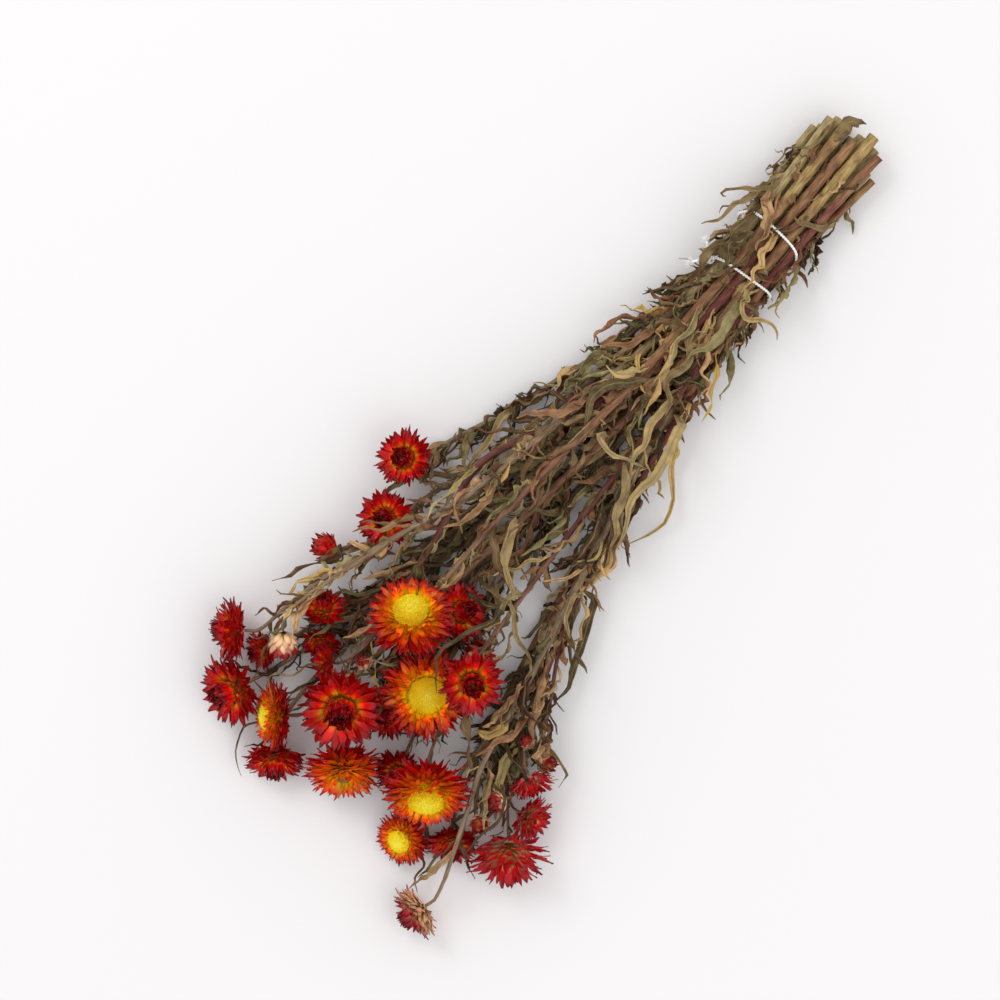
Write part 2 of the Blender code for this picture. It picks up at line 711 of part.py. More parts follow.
class Tie:
    """White string: two turns drawn round the stems, a cross strand, a knot and two cut ends."""

    RADIUS = 0.65
    SPACE = 0.35
    STEPS = 22
    SIDES = 4
    # Where each turn passes the left and the right of the bunch
    TURNS = ((-12.0, -7.0), (18.0, 12.5))
    # The step round the ring at which the two turns are joined and knotted
    KNOT_STEP = 9
    KNOT_RADII = (0.6, 1.6, 2.0, 0.8)
    KNOT_PLACES = (-2.2, -1.0, 0.4, 1.4)
    KNOT_SIDES = 6
    KNOT_OUT = 2.4
    ENDS = ((9, -8, 2), (-8, -9, 3))
    END_SAG = 1.5

    def ring(self, left, right):
        """One turn, as the line that a tight string takes round the stems."""
        slots = [(Vector(s.slot), s.radius) for s in STEMS.values()]
        points = []
        for k in range(self.STEPS):
            angle = 2 * math.pi * k / self.STEPS
            way = Vector((math.cos(angle), math.sin(angle)))
            centre, radius = max(slots, key=lambda s: s[0].dot(way) + s[1])
            reach = centre + way * (radius + self.RADIUS + self.SPACE)
            share = (way.x + 1) / 2
            points.append(Vector((left + (right - left) * share, reach.x, reach.y)))
        return points

    def pieces(self):
        """The pieces that are fused into the tie, each as (vertices, faces)."""
        turns = [self.ring(*ends) for ends in self.TURNS]
        made = [tube(points, [self.RADIUS] * self.STEPS, self.SIDES, closed=True) for points in turns]
        first, last = (points[self.KNOT_STEP] for points in turns)
        out = Vector((0, -0.9, 0.5))
        knot = last + out * self.KNOT_OUT
        cross = [first - Vector((1, 0, 0)), first.lerp(last, 0.5) + out * 0.4, last + Vector((1, 0, 0))]
        made.append(tube(cross, [self.RADIUS] * len(cross), self.SIDES))
        lump = [knot + out * place for place in self.KNOT_PLACES]
        made.append(tube(lump, self.KNOT_RADII, self.KNOT_SIDES))
        for end in map(Vector, self.ENDS):
            points = [knot, knot + end / 2 + Vector((0, 0, self.END_SAG)), knot + end]
            made.append(tube(points, [self.RADIUS] * len(points), self.SIDES))
        return made


COLOURS = {
    "olive": ("dried olive stem", (0.20, 0.14, 0.06), 0.75),
    "brown": ("dried brown stem", (0.19, 0.10, 0.05), 0.7),
    "mahogany": ("dried red-brown stem", (0.13, 0.045, 0.03), 0.65),
    "crimson": ("crimson papery bracts", (0.40, 0.008, 0.012), 0.45),
    "orange": ("orange papery bracts", (0.80, 0.16, 0.01), 0.45),
    "pink": ("pale pink papery bracts", (0.55, 0.16, 0.10), 0.5),
    "string": ("white cotton string", (0.85, 0.83, 0.78), 0.9),
}


def material(key):
    """The material of this name, made at its first use."""
    name, colour, roughness = COLOURS[key]
    found = bpy.data.materials.get(name)
    if found is None:
        found = bpy.data.materials.new(name)
        found.use_nodes = True
        surface = found.node_tree.nodes["Principled BSDF"]
        surface.inputs["Base Color"].default_value = (*colour, 1)
        surface.inputs["Roughness"].default_value = roughness
        surface.inputs["Metallic"].default_value = 0.0
    return found


def to_object(name, vertices, faces, collection=None):
    """A mesh object in metres, with its faces turned outwards."""
    bm = bmesh.new()
    made = [bm.verts.new((Vector(v) + Vector((TIE_X, TIE_Y, 0))) * MM) for v in vertices]
    for face in faces:
        bm.faces.new([made[i] for i in face])
    bmesh.ops.recalc_face_normals(bm, faces=bm.faces)
    bmesh.ops.triangulate(bm, faces=bm.faces)
    mesh = bpy.data.meshes.new(name)
    bm.to_mesh(mesh)
    bm.free()
    obj = bpy.data.objects.new(name, mesh)
    (collection or bpy.context.scene.collection).objects.link(obj)
    return obj


def apply_modifiers(obj):
    """Makes what the modifiers give the object's own mesh."""
    graph = bpy.context.evaluated_depsgraph_get()
    mesh = bpy.data.meshes.new_from_object(obj.evaluated_get(graph))
    obj.modifiers.clear()
    obj.data = mesh


def clean(obj):
    """Closes up needle-thin triangles where the mesh stays closed, and drops loose scraps."""
    for shortest in (SHORTEST_EDGE, SHORTEST_EDGE / 3, SHORTEST_EDGE / 10, 0.0):
        bm = bmesh.new()
        bm.from_mesh(obj.data)
        if shortest:
            bmesh.ops.dissolve_degenerate(bm, edges=bm.edges, dist=shortest * MM)
            bmesh.ops.triangulate(bm, faces=bm.faces)
        if all(edge.is_manifold for edge in bm.edges):
            break
        bm.free()
    left = set(bm.verts)
    islands = []
    while left:
        island = set()
        front = [left.pop()]
        while front:
            vertex = front.pop()
            island.add(vertex)
            for edge in vertex.link_edges:
                other = edge.other_vert(vertex)
                if other in left:
                    left.discard(other)
                    front.append(other)
        islands.append(island)
    islands.sort(key=len)
    for island in islands[:-1]:
        bmesh.ops.delete(bm, geom=list(island), context="VERTS")
    bm.to_mesh(obj.data)
    bm.free()


def fuse(name, pieces):
    """One object from closed pieces that overlap, joined by one Boolean union."""
    helpers = bpy.data.collections.new(f"{name} pieces")
    bpy.context.scene.collection.children.link(helpers)
    whole = to_object(name, *pieces[0])
    for k, piece in enumerate(pieces[1:]):
        to_object(f"{name} piece {k}", *piece, helpers)
    if len(pieces) > 1:
        union = whole.modifiers.new("fused pieces", "BOOLEAN")
        union.operation = "UNION"
        union.solver = "MANIFOLD"
        union.operand_type = "COLLECTION"
        union.collection = helpers
        apply_modifiers(whole)
    for helper in list(helpers.objects):
        bpy.data.objects.remove(helper)
    bpy.data.collections.remove(helpers)
    clean(whole)
    return whole


def trim_at_table(obj):
    """Cuts off what would be below the table, which leaves the flat spots that it rests on."""
    if min(v.co.z for v in obj.data.vertices) >= 0:
        return
    bm = bmesh.new()
    bmesh.ops.create_cube(bm, size=1.0, matrix=Matrix.Diagonal((1.0, 1.0, 0.1, 1.0)))
    bmesh.ops.translate(bm, verts=bm.verts, vec=(0, 0, -0.05))
    mesh = bpy.data.meshes.new("below the table")
    bm.to_mesh(mesh)
    bm.free()
    below = bpy.data.objects.new("below the table", mesh)
    bpy.context.scene.collection.objects.link(below)
    cut = obj.modifiers.new("trim at the table", "BOOLEAN")
    cut.operation = "DIFFERENCE"
    cut.solver = "MANIFOLD"
    cut.object = below
    apply_modifiers(obj)
    bpy.data.objects.remove(below)
    clean(obj)


def build_strands():
    """Every stem and side stalk, spread so that none touches another."""
    strands = []
    for name, stem in STEMS.items():
        main = Strand.main(name, stem)
        strands.append(main)
        for head in stem.heads[1:]:
            strands.append(Strand.branch(name, head, main))
    Clearance(strands).run()
    return strands


def finish(obj, key):
    """Gives a node its material and smooth shading with sharp edges kept."""
    obj.data.materials.clear()
    obj.data.materials.append(material(key))
    obj.data.shade_smooth()
    obj.data.set_sharp_from_angle(angle=math.radians(50))


def main():
    """Clears the scene and builds the bunch."""
    for obj in list(bpy.data.objects):
        bpy.data.objects.remove(obj)
    rng = random.Random(SEED)
    heads = {name: bloom_mesh(head, rng) for name, head in BLOOMS.items()}
    tie = Tie().pieces()
    strands = build_strands()
    solids = [Solid(name, *mesh) for name, mesh in heads.items()]
    solids += [Solid("tie", *mesh) for mesh in tie]
    for strand in strands:
        sides = 5 if strand.parent else 6
        solids.append(Solid(strand.node, *tube(strand.points, strand.radii, sides)))
    leaves = Leaves(strands, solids, rng)
    leaves.on_ribbons()
    for strand in strands:
        if strand.parent is None:
            leaves.on_strand(strand, STEMS[strand.node].leaves, 0.04, 0.93)
        else:
            leaves.on_strand(strand, 2, 0.3, 0.85)
    for name in STEMS:
        pieces = [(s.vertices, s.faces) for s in solids if s.node == name]
        stem = fuse(name, pieces)
        trim_at_table(stem)
        finish(stem, STEMS[name].colour)
    for name, mesh in heads.items():
        bloom = to_object(name, *mesh)
        trim_at_table(bloom)
        finish(bloom, BLOOMS[name].colour)
    finish(fuse("tie", tie), "string")
    print("leaves left out:", leaves.dropped)


main()
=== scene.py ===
"""The looks of a tied bunch of dried strawflowers that lies on a table.

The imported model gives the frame. Each of its nodes is replaced by finer pieces that keep its form: heads of
separate papery bracts, ribbed stems, crumpled leaves and a two-ply string. The first half of the file repeats
the bunch's layout, in millimetres from the tie, because the model's own source can't be read from here.
"""

from __future__ import annotations

import json
import logging
import math
import random
import sys
from collections.abc import Callable, Sequence
from dataclasses import dataclass
from enum import Enum

import bmesh
import bpy
import numpy as np
from mathutils import Matrix, Vector, noise
from mathutils.bvhtree import BVHTree

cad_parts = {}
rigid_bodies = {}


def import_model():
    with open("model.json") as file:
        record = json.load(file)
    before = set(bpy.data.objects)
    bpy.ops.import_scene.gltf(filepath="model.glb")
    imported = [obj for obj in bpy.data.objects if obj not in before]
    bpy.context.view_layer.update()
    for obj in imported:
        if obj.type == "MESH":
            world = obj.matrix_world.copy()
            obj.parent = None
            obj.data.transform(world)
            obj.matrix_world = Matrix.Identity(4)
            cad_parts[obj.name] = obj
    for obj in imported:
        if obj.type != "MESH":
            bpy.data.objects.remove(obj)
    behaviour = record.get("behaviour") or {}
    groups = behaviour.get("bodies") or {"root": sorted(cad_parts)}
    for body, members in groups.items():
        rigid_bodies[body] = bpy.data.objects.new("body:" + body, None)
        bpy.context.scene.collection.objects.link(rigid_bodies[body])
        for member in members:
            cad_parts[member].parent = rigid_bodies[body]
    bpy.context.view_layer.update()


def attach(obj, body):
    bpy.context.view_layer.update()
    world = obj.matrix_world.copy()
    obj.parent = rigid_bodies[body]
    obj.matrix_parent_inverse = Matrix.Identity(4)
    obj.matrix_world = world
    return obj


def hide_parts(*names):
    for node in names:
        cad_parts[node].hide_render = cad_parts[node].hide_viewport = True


LOG = logging.getLogger("bunch")

MM = 0.001
SEED = 20

# The tie's place in the model's frame, and the length along the stems that it binds
TIE_X = -156.0
TIE_Y = -5.0
BOUND_FROM = -14.0
BOUND_TO = 21.0

# The room that the plain model keeps between its solids, and between its strands
GAP = 0.3
STRAND_GAP = 0.5

GOLDEN_ANGLE = math.radians(137.5)
CURVE_STEPS = 40

Place = Callable[[float, float], Vector]
Route = tuple[tuple[float, float, float], ...]
Shape = tuple[list[Vector], list[tuple[int, ...]]]
Source = bpy.types.Node | bpy.types.NodeSocket
Span = tuple[float, float]
Stops = tuple[tuple[float, str], ...]


class Opening(Enum):
    """How far a head has opened."""

    OPEN = "open"
    CUPPED = "cupped"
    SMALL = "small"
    STAR = "star"
    BUD = "bud"


class Tint(Enum):
    """The colour of a head's bracts."""

    CRIMSON = "crimson_bracts"
    ORANGE = "orange_bracts"
    PINK = "pink_bracts"


class Bark(Enum):
    """The colour of a stem's bark."""

    OLIVE = "olive_stem"
    BROWN = "brown_stem"
    RED_BROWN = "red_brown_stem"


@dataclass(frozen=True)
class Form:
    """A head's outline in shares of its radius, with each whorl's tip, notch and ring as radius and height."""

    bracts: int
    back: Span
    crown: float
    whorls: tuple[tuple[float, float, float, float, float, float], ...]
    pole: float = -0.50
    tip_wobble: float = 0.07
    notch_wobble: float = 0.02
    rise_wobble: float = 0.5


FORMS: dict[Opening, Form] = {
    Opening.OPEN: Form(13, (0.30, -0.40), 0.30, (
        (1.00, -0.20, 0.80, -0.19, 0.54, -0.08),
        (0.97, 0.06, 0.76, 0.04, 0.47, 0.06),
        (0.79, 0.33, 0.60, 0.25, 0.35, 0.16),
    )),
    Opening.CUPPED: Form(12, (0.32, -0.42), 0.43, (
        (1.00, -0.05, 0.82, -0.09, 0.64, -0.02),
        (0.90, 0.30, 0.74, 0.22, 0.50, 0.22),
        (0.54, 0.58, 0.42, 0.48, 0.22, 0.40),
    )),
    Opening.SMALL: Form(9, (0.32, -0.42), 0.45, (
        (1.00, -0.05, 0.76, -0.09, 0.60, -0.02),
        (0.88, 0.32, 0.68, 0.22, 0.46, 0.22),
        (0.50, 0.60, 0.38, 0.48, 0.22, 0.42),
    )),
    Opening.STAR: Form(11, (0.25, -0.42), 0.34, (
        (1.00, 0.00, 0.56, -0.10, 0.40, -0.02),
        (0.92, 0.30, 0.52, 0.16, 0.32, 0.12),
        (0.62, 0.55, 0.38, 0.38, 0.18, 0.30),
    )),
    Opening.BUD: Form(8, (0.42, -0.75), 0.80, (
        (1.00, -0.10, 0.84, -0.20, 0.78, 0.00),
        (0.74, 0.66, 0.58, 0.50, 0.34, 0.60),
    ), pole=-1.00),
}


@dataclass(frozen=True)
class Bloom:
    """A head's place: its rim's middle, the way that it faces in plan, its tilt from upright and its size."""

    at: tuple[float, float, float]
    bearing: float
    tilt: float
    radius: float
    opening: Opening
    tint: Tint = Tint.CRIMSON

    def axis(self) -> Vector:
        """The unit direction that the head faces."""
        level = math.sin(math.radians(self.tilt))
        turn = math.radians(self.bearing)
        return Vector((level * math.cos(turn), level * math.sin(turn), math.cos(math.radians(self.tilt))))

    def seat(self) -> Vector:
        """The middle of the head's back, where the stalk ends."""
        return Vector(self.at) + self.axis() * FORMS[self.opening].pole * self.radius

    def frame(self) -> Matrix:
        """The transform from the head's own axes to the bunch's."""
        turn = self.axis().to_track_quat("Z", "Y").to_matrix().to_4x4()
        return Matrix.Translation(Vector(self.at)) @ turn


BLOOMS: dict[str, Bloom] = {
    "bloom_01": Bloom((339, -97, 20), -51, 78, 17, Opening.CUPPED),
    "bloom_02": Bloom((365, -76, 21), -26, 50, 19, Opening.CUPPED),
    "bloom_03": Bloom((360, -50, 26), -51, 70, 18, Opening.OPEN, Tint.ORANGE),
    "bloom_04": Bloom((380, -32, 13.5), 39, 65, 16, Opening.CUPPED),
    "bloom_05": Bloom((332, -22, 48), 39, 20, 22, Opening.CUPPED),
    "bloom_06": Bloom((360, 1, 25), 39, 52, 21, Opening.OPEN, Tint.ORANGE),
    "bloom_07": Bloom((296, -65, 24), -141, 50, 13, Opening.SMALL),
    "bloom_08": Bloom((314, -53, 11), 29, 50, 11, Opening.SMALL),
    "bloom_09": Bloom((320, -46, 26), -51, 75, 11, Opening.SMALL),
    "bloom_10": Bloom((326, -68, 33), 39, 110, 9, Opening.BUD, Tint.PINK),
    "bloom_11": Bloom((338, -77, 9), -31, 55, 11, Opening.SMALL),
    "bloom_12": Bloom((305, -29, 30), -111, 60, 5, Opening.BUD, Tint.PINK),
    "bloom_13": Bloom((268, -26, 48), -141, 32, 23, Opening.OPEN, Tint.ORANGE),
    "bloom_14": Bloom((251, -5, 26), 149, 40, 16, Opening.CUPPED),
    "bloom_15": Bloom((297, 8, 40), 69, 10, 24, Opening.OPEN, Tint.ORANGE),
    "bloom_16": Bloom((276, 23, 60), 69, 12, 17, Opening.CUPPED),
    "bloom_17": Bloom((262, 17, 17), -171, 50, 9, Opening.SMALL),
    "bloom_18": Bloom((340, 43, 38), 39, 45, 23, Opening.OPEN, Tint.ORANGE),
    "bloom_19": Bloom((369, 48, 13), -16, 32, 15, Opening.OPEN, Tint.ORANGE),
    "bloom_20": Bloom((321, -1, 13), -31, 30, 13, Opening.CUPPED),
    "bloom_21": Bloom((342, 24, 9.5), 19, 30, 13, Opening.CUPPED),
    "bloom_22": Bloom((354, 72, 10.9), 39, 50, 14, Opening.CUPPED),
    "bloom_23": Bloom((339, 99, 22), 39, 58, 22, Opening.STAR),
    "bloom_24": Bloom((315, 96, 16), 99, 60, 14, Opening.STAR),
    "bloom_25": Bloom((300, 84, 18), 59, 95, 12.5, Opening.STAR, Tint.PINK),
    "bloom_26": Bloom((283, 67, 26), -101, 60, 4.5, Opening.BUD, Tint.PINK),
    "bloom_27": Bloom((334, 75, 31), 19, 35, 6, Opening.BUD, Tint.PINK),
    "bloom_28": Bloom((396, 79, 13.8), -16, 80, 15, Opening.CUPPED, Tint.PINK),
    "bloom_29": Bloom((206, -82, 26), -51, 15, 15, Opening.CUPPED),
    "bloom_30": Bloom((238, -69, 27), -41, 15, 15.5, Opening.CUPPED),
    "bloom_31": Bloom((271, -86, 18), -71, 70, 8, Opening.BUD),
    "bloom_32": Bloom((320, 75, 22), -31, 60, 7, Opening.BUD, Tint.PINK),
    "bloom_33": Bloom((286, 84, 12), 119, 60, 6.5, Opening.BUD, Tint.PINK),
}


@dataclass(frozen=True)
class Stem:
    """A stem: its place in the tie, its radius, its cut end's place and splay, and the heads it carries."""

    slot: Span
    radius: float
    cut: float
    splay: Span
    heads: tuple[str, ...]
    via: Route = ()
    leaves: int = 9
    bark: Bark = Bark.OLIVE


STEMS: dict[str, Stem] = {
    "stem_01": Stem((-20.5, 12.5), 2.6, -76, (-1, -2), ("bloom_29",), leaves=8),
    "stem_02": Stem((-16.0, 19.0), 3.0, -84, (-1, -1), ("bloom_30", "bloom_31"), leaves=9),
    "stem_03": Stem(
        (-13.5, 12.5), 3.0, -88, (0, -2), ("bloom_01", "bloom_10"), via=((188, -34, 42), (229, -46, 42))
    ),
    "stem_04": Stem((-17.0, 5.9), 3.1, -80, (-1, -3.2), ("bloom_02", "bloom_11")),
    "stem_05": Stem((-10.0, 5.9), 2.9, -90, (1, -3.4), ("bloom_07", "bloom_08"), leaves=8),
    "stem_06": Stem(
        (-9.0, 19.0), 3.2, -86, (0, 0), ("bloom_13",),
        via=((60, -9, 26), (112, -10, 34), (178, -15, 38)), bark=Bark.BROWN,
    ),
    "stem_07": Stem(
        (-2.0, 19.2), 3.0, -82, (1, 0), ("bloom_03", "bloom_09"),
        via=((118, -21, 28), (162, -42, 30), (191, -50, 30), (222, -42, 29)), bark=Bark.RED_BROWN,
    ),
    "stem_08": Stem((-6.5, 12.5), 2.8, -78, (0, -2), ("bloom_04",)),
    "stem_09": Stem((5.0, 19.0), 3.2, -91, (1, 0), ("bloom_05", "bloom_12"), bark=Bark.BROWN),
    "stem_10": Stem((-3.0, 5.9), 3.2, -85, (2, -3.1), ("bloom_06", "bloom_20")),
    "stem_11": Stem((0.5, 12.5), 3.0, -88, (1, -2), ("bloom_14", "bloom_17"), leaves=8),
    "stem_12": Stem((4.0, 5.9), 3.2, -80, (2, -3.1), ("bloom_15", "bloom_21")),
    "stem_13": Stem((11.5, 18.6), 2.6, -84, (3, -1), ("bloom_16", "bloom_18"), bark=Bark.RED_BROWN),
    "stem_14": Stem(
        (7.5, 12.5), 3.0, -87, (3, -2), ("bloom_28", "bloom_19"),
        via=((273, 46, 26), (316, 54, 28), (348, 68, 32)),
    ),
    "stem_15": Stem(
        (11.0, 5.9), 3.2, -76, (4, -3.1), ("bloom_22", "bloom_27", "bloom_32", "bloom_23"), bark=Bark.BROWN
    ),
    "stem_16": Stem(
        (14.2, 12.2), 2.2, -73, (6, -2), ("bloom_25", "bloom_24", "bloom_26", "bloom_33"),
        bark=Bark.RED_BROWN,
    ),
}

# How many more small leaves grow near the tie, on the stems at its sides
TUFTS: dict[str, int] = {
    "stem_01": 30, "stem_02": 30, "stem_03": 14, "stem_04": 18, "stem_15": 14, "stem_16": 18,
}

# The leaves that stand out: the stem, the width, the way that they take, and the tone
RIBBONS: dict[str, tuple[str, float, Route, float]] = {
    "long yellow ribbon": ("stem_15", 5.0, ((83, 19, 18), (105, 27, 14), (136, 48, 7), (167, 44, 6)), 0.95),
    "broad pale leaf": ("stem_09", 9.0, ((194, -14, 37), (207, -9, 40), (220, 0, 41), (228, 14, 38)), 0.72),
    "leaf under it": ("stem_10", 6.0, ((232, 15, 34), (241, 28, 33), (249, 40, 31), (260, 46, 26)), 0.6),
    "ring at the cut ends": (
        "stem_01", 3.5, ((-32, -19, 20), (-26, -31, 22), (-17, -38, 16), (-15, -34, 12)), 0.55
    ),
    "tail at the cut ends": (
        "stem_04", 3.5, ((-34, -20, 10), (-24, -27, 9), (-16, -31, 9), (-8, -34, 8)), 0.4
    ),
    "thread at the end": (
        "stem_02", 2.5, ((-71, -16, 26), (-60, -23, 28), (-49, -27, 20), (-43, -27, 17)), 0.5
    ),
    "hook over the tie": ("stem_13", 4.5, ((24, 6, 26), (30, 14, 27), (24, 27, 20), (27, 36, 9)), 0.85),
    "hook at the heads": ("stem_07", 3.0, ((331, -55, 40), (338, -60, 42), (346, -57, 43), (354, -56, 44)), 0.5),
    "leaf at the left corner": (
        "stem_04", 4.5, ((356, -44, 18), (374, -58, 10), (389, -52, 6), (398, -42, 5)), 0.35
    ),
    "leaf over the heads": ("stem_09", 4.5, ((238, 10, 56), (262, 2, 66), (276, 1, 70), (291, 12, 71)), 0.16),
    "leaf at the lone head": (
        "stem_14", 4.5, ((313, 76, 32), (323, 80, 35), (343, 79, 34), (354, 78, 31)), 0.22
    ),
    "hook at the right": ("stem_15", 4.5, ((272, 62, 18), (278, 79, 18), (284, 93, 14), (294, 98, 8)), 0.45),
    "hanging leaf": ("stem_16", 4.0, ((205, 37, 18), (217, 44, 14), (224, 50, 10), (228, 57, 7)), 0.7),
    "leaf across the bunch": (
        "stem_11", 5.0, ((128, -6, 36), (132, 3, 39), (132, 13, 39), (128, 24, 34)), 0.7
    ),
    "pale leaf along the edge": (
        "stem_15", 6.0, ((98, 24, 22), (125, 28, 24), (149, 30, 21), (173, 39, 15)), 0.75
    ),
    "leaf on the outer twig": (
        "stem_16", 5.0, ((200, 47, 12), (222, 56, 12), (244, 65, 12), (258, 67, 10)), 0.3
    ),
}


# Crumpled leaves that lie over the others, too fine for the plain model
CRUMPLED: tuple[tuple[str, float, Route, float], ...] = (
    ("stem_01", 8.0, ((-16, -20, 24), (-6, -21, 29), (4, -19, 30), (12, -22, 26)), 0.42),
    ("stem_02", 6.0, ((-3, -14, 31), (4, -17, 32), (10, -16, 31), (16, -11, 29)), 0.30),
    ("stem_06", 7.5, ((-79, -9, 25), (-84, -9, 28), (-89, -8, 28), (-91, -4, 26)), 0.46),
    ("stem_03", 6.5, ((2, -18, 27), (12, -22, 28), (20, -24, 26), (27, -21, 24)), 0.50),
    ("stem_09", 7.5, ((60, -2, 33), (72, 4, 37), (84, 3, 38), (93, 9, 35)), 0.55),
    ("stem_07", 7.0, ((96, -12, 36), (104, -20, 38), (116, -22, 36), (127, -18, 35)), 0.34),
    ("stem_13", 6.5, ((140, 18, 36), (149, 26, 37), (160, 27, 35), (169, 33, 32)), 0.62),
)


def to_world(point: Vector) -> Vector:
    """A point in millimetres from the tie, as metres in the model's frame."""
    return (point + Vector((TIE_X, TIE_Y, 0.0))) * MM


def walked_to(points: np.ndarray) -> np.ndarray:
    """How far along a line each of its points is."""
    return np.concatenate([[0], np.cumsum(np.linalg.norm(np.diff(points, axis=0), axis=1))])


def evenly(points: np.ndarray, count: int) -> np.ndarray:
    """Equally spaced points along a line.

    Args:
        points: The line's points.
        count: How many points to return.

    Returns:
        An array of shape (count, 3).
    """
    walked = walked_to(points)
    wanted = np.linspace(0, walked[-1], count)
    return np.stack([np.interp(wanted, walked, points[:, k]) for k in range(3)], axis=1)


def path(points: Sequence[Sequence[float]], tangents: Sequence[Sequence[float]], count: int) -> np.ndarray:
    """Equally spaced points along a smooth curve through the given points.

    Args:
        points: The places that the curve passes.
        tangents: The first and last direction, each as long as its pull.
        count: How many points to return.

    Returns:
        An array of shape (count, 3).
    """
    points = np.array(points, float)
    spans = np.linalg.norm(np.diff(points, axis=0), axis=1)
    slopes = np.empty_like(points)
    slopes[0] = np.array(tangents[0]) * spans[0]
    slopes[-1] = np.array(tangents[1]) * spans[-1]
    for i in range(1, len(points) - 1):
        slopes[i] = (points[i + 1] - points[i - 1]) / (spans[i] + spans[i - 1])
    dense = []
    for i, span in enumerate(spans):
        first = slopes[i] if i == 0 else slopes[i] * span
        last = slopes[i + 1] if i == len(spans) - 1 else slopes[i + 1] * span
        for t in np.linspace(0, 1, CURVE_STEPS, endpoint=i == len(spans) - 1):
            dense.append(
                (2 * t**3 - 3 * t**2 + 1) * points[i]
                + (t**3 - 2 * t**2 + t) * first
                + (-2 * t**3 + 3 * t**2) * points[i + 1]
                + (t**3 - t**2) * last
            )
    return evenly(np.array(dense), count)


@dataclass(eq=False)
class Strand:
    """One stem or side stalk: a line of points with a radius at each, and the head at its end.

    Held points stay where they are while strands are spread. A side stalk has a parent, and a fork: the
    number of the parent's point that it grows from.
    """

    node: str
    head: str
    points: np.ndarray
    radii: np.ndarray
    held: np.ndarray
    parent: Strand | None = None
    fork: int = 0
    main_points: int = 15
    branch_points: int = 8
    tip_radius: float = 1.2
    branch_tip_radius: float = 1.0
    branch_share: float = 0.72
    taper: float = 0.6
    splay: float = 1.05
    neck: float = 0.45
    leaving: float = 0.9
    arriving: float = 0.3
    branch_leaving: float = 0.7
    branch_arriving: float = 0.45
    small_reach: float = 70.0
    large_reach: float = 95.0
    small_head: float = 10.0
    first_fork: int = 6
    last_fork: int = 4

    @classmethod
    def main(cls, name: str, stem: Stem) -> Strand:
        """The stem itself, from its cut end through the tie to its first head.

        Args:
            name: The stem's name.
            stem: The stem's layout.

        Returns:
            The strand.
        """
        across, height = stem.slot
        head = BLOOMS[stem.heads[0]]
        tip = head.seat() - head.axis() * GAP
        neck = tip - head.axis() * cls.neck * head.radius
        neck.z = max(neck.z, cls.tip_radius)
        leaves_tie = (BOUND_TO, across, height)
        cut = (stem.cut, across * cls.splay + stem.splay[0], height + stem.splay[1])
        middle = [(cut[k] + (BOUND_FROM, across, height)[k]) / 2 for k in range(3)]
        bound = np.array([cut, middle, (BOUND_FROM, across, height)])
        free = path(
            [leaves_tie, *stem.via, neck],
            [(cls.leaving, 0, 0), np.array(head.axis()) * cls.arriving],
            cls.main_points,
        )
        points = np.concatenate([bound, free, [tip]])
        share = np.linspace(0, 1, len(points))
        taper = (1 - share) ** cls.taper
        radii = stem.radius * taper + cls.tip_radius * (1 - taper)
        held = np.zeros(len(points), bool)
        held[:4] = True
        held[-2:] = True
        return cls(name, stem.heads[0], points, radii, held)

    @classmethod
    def branch(cls, name: str, head_name: str, parent: Strand) -> Strand:
        """A side stalk, from the stem to another head.

        Args:
            name: The stem's name.
            head_name: The head at the stalk's end.
            parent: The stem.

        Returns:
            The strand.
        """
        head = BLOOMS[head_name]
        tip = np.array(head.seat() - head.axis() * GAP)
        neck = tip - np.array(head.axis()) * cls.neck * head.radius
        neck[2] = max(neck[2], cls.tip_radius)
        reach = cls.large_reach if head.radius > cls.small_head else cls.small_reach
        distance = np.linalg.norm(parent.points[:, :2] - (tip[:2] - (reach, 0)), axis=1)
        fork = int(np.clip(np.argmin(distance), cls.first_fork, len(parent.points) - cls.last_fork))
        along = parent.points[fork + 1] - parent.points[fork]
        along /= np.linalg.norm(along)
        pulls = [along * cls.branch_leaving, np.array(head.axis()) * cls.branch_arriving]
        bend = path([parent.points[fork], neck], pulls, cls.branch_points)
        points = np.concatenate([bend, [tip]])
        radii = np.linspace(parent.radii[fork] * cls.branch_share, cls.branch_tip_radius, len(points))
        held = np.zeros(len(points), bool)
        held[-2:] = True
        return cls(name, head_name, points, radii, held, parent, fork)


def nearest_between(
    p1: np.ndarray, q1: np.ndarray, p2: np.ndarray, q2: np.ndarray
) -> tuple[np.ndarray, np.ndarray]:
    """Where two sets of segments come nearest.

    Args:
        p1: The first set's starts.
        q1: The first set's ends.
        p2: The second set's starts.
        q2: The second set's ends.

    Returns:
        The shares along each first and each second segment.
    """
    d1 = q1 - p1
    d2 = q2 - p2
    r = p1 - p2
    a = (d1 * d1).sum(1)
    e = (d2 * d2).sum(1)
    f = (d2 * r).sum(1)
    c = (d1 * r).sum(1)
    b = (d1 * d2).sum(1)
    spread = np.maximum(a * e - b * b, 1e-9)
    s = np.clip((b * f - c * e) / spread, 0, 1)
    t = np.clip((b * s + f) / e, 0, 1)
    s = np.clip((b * t - c) / a, 0, 1)
    return s, t


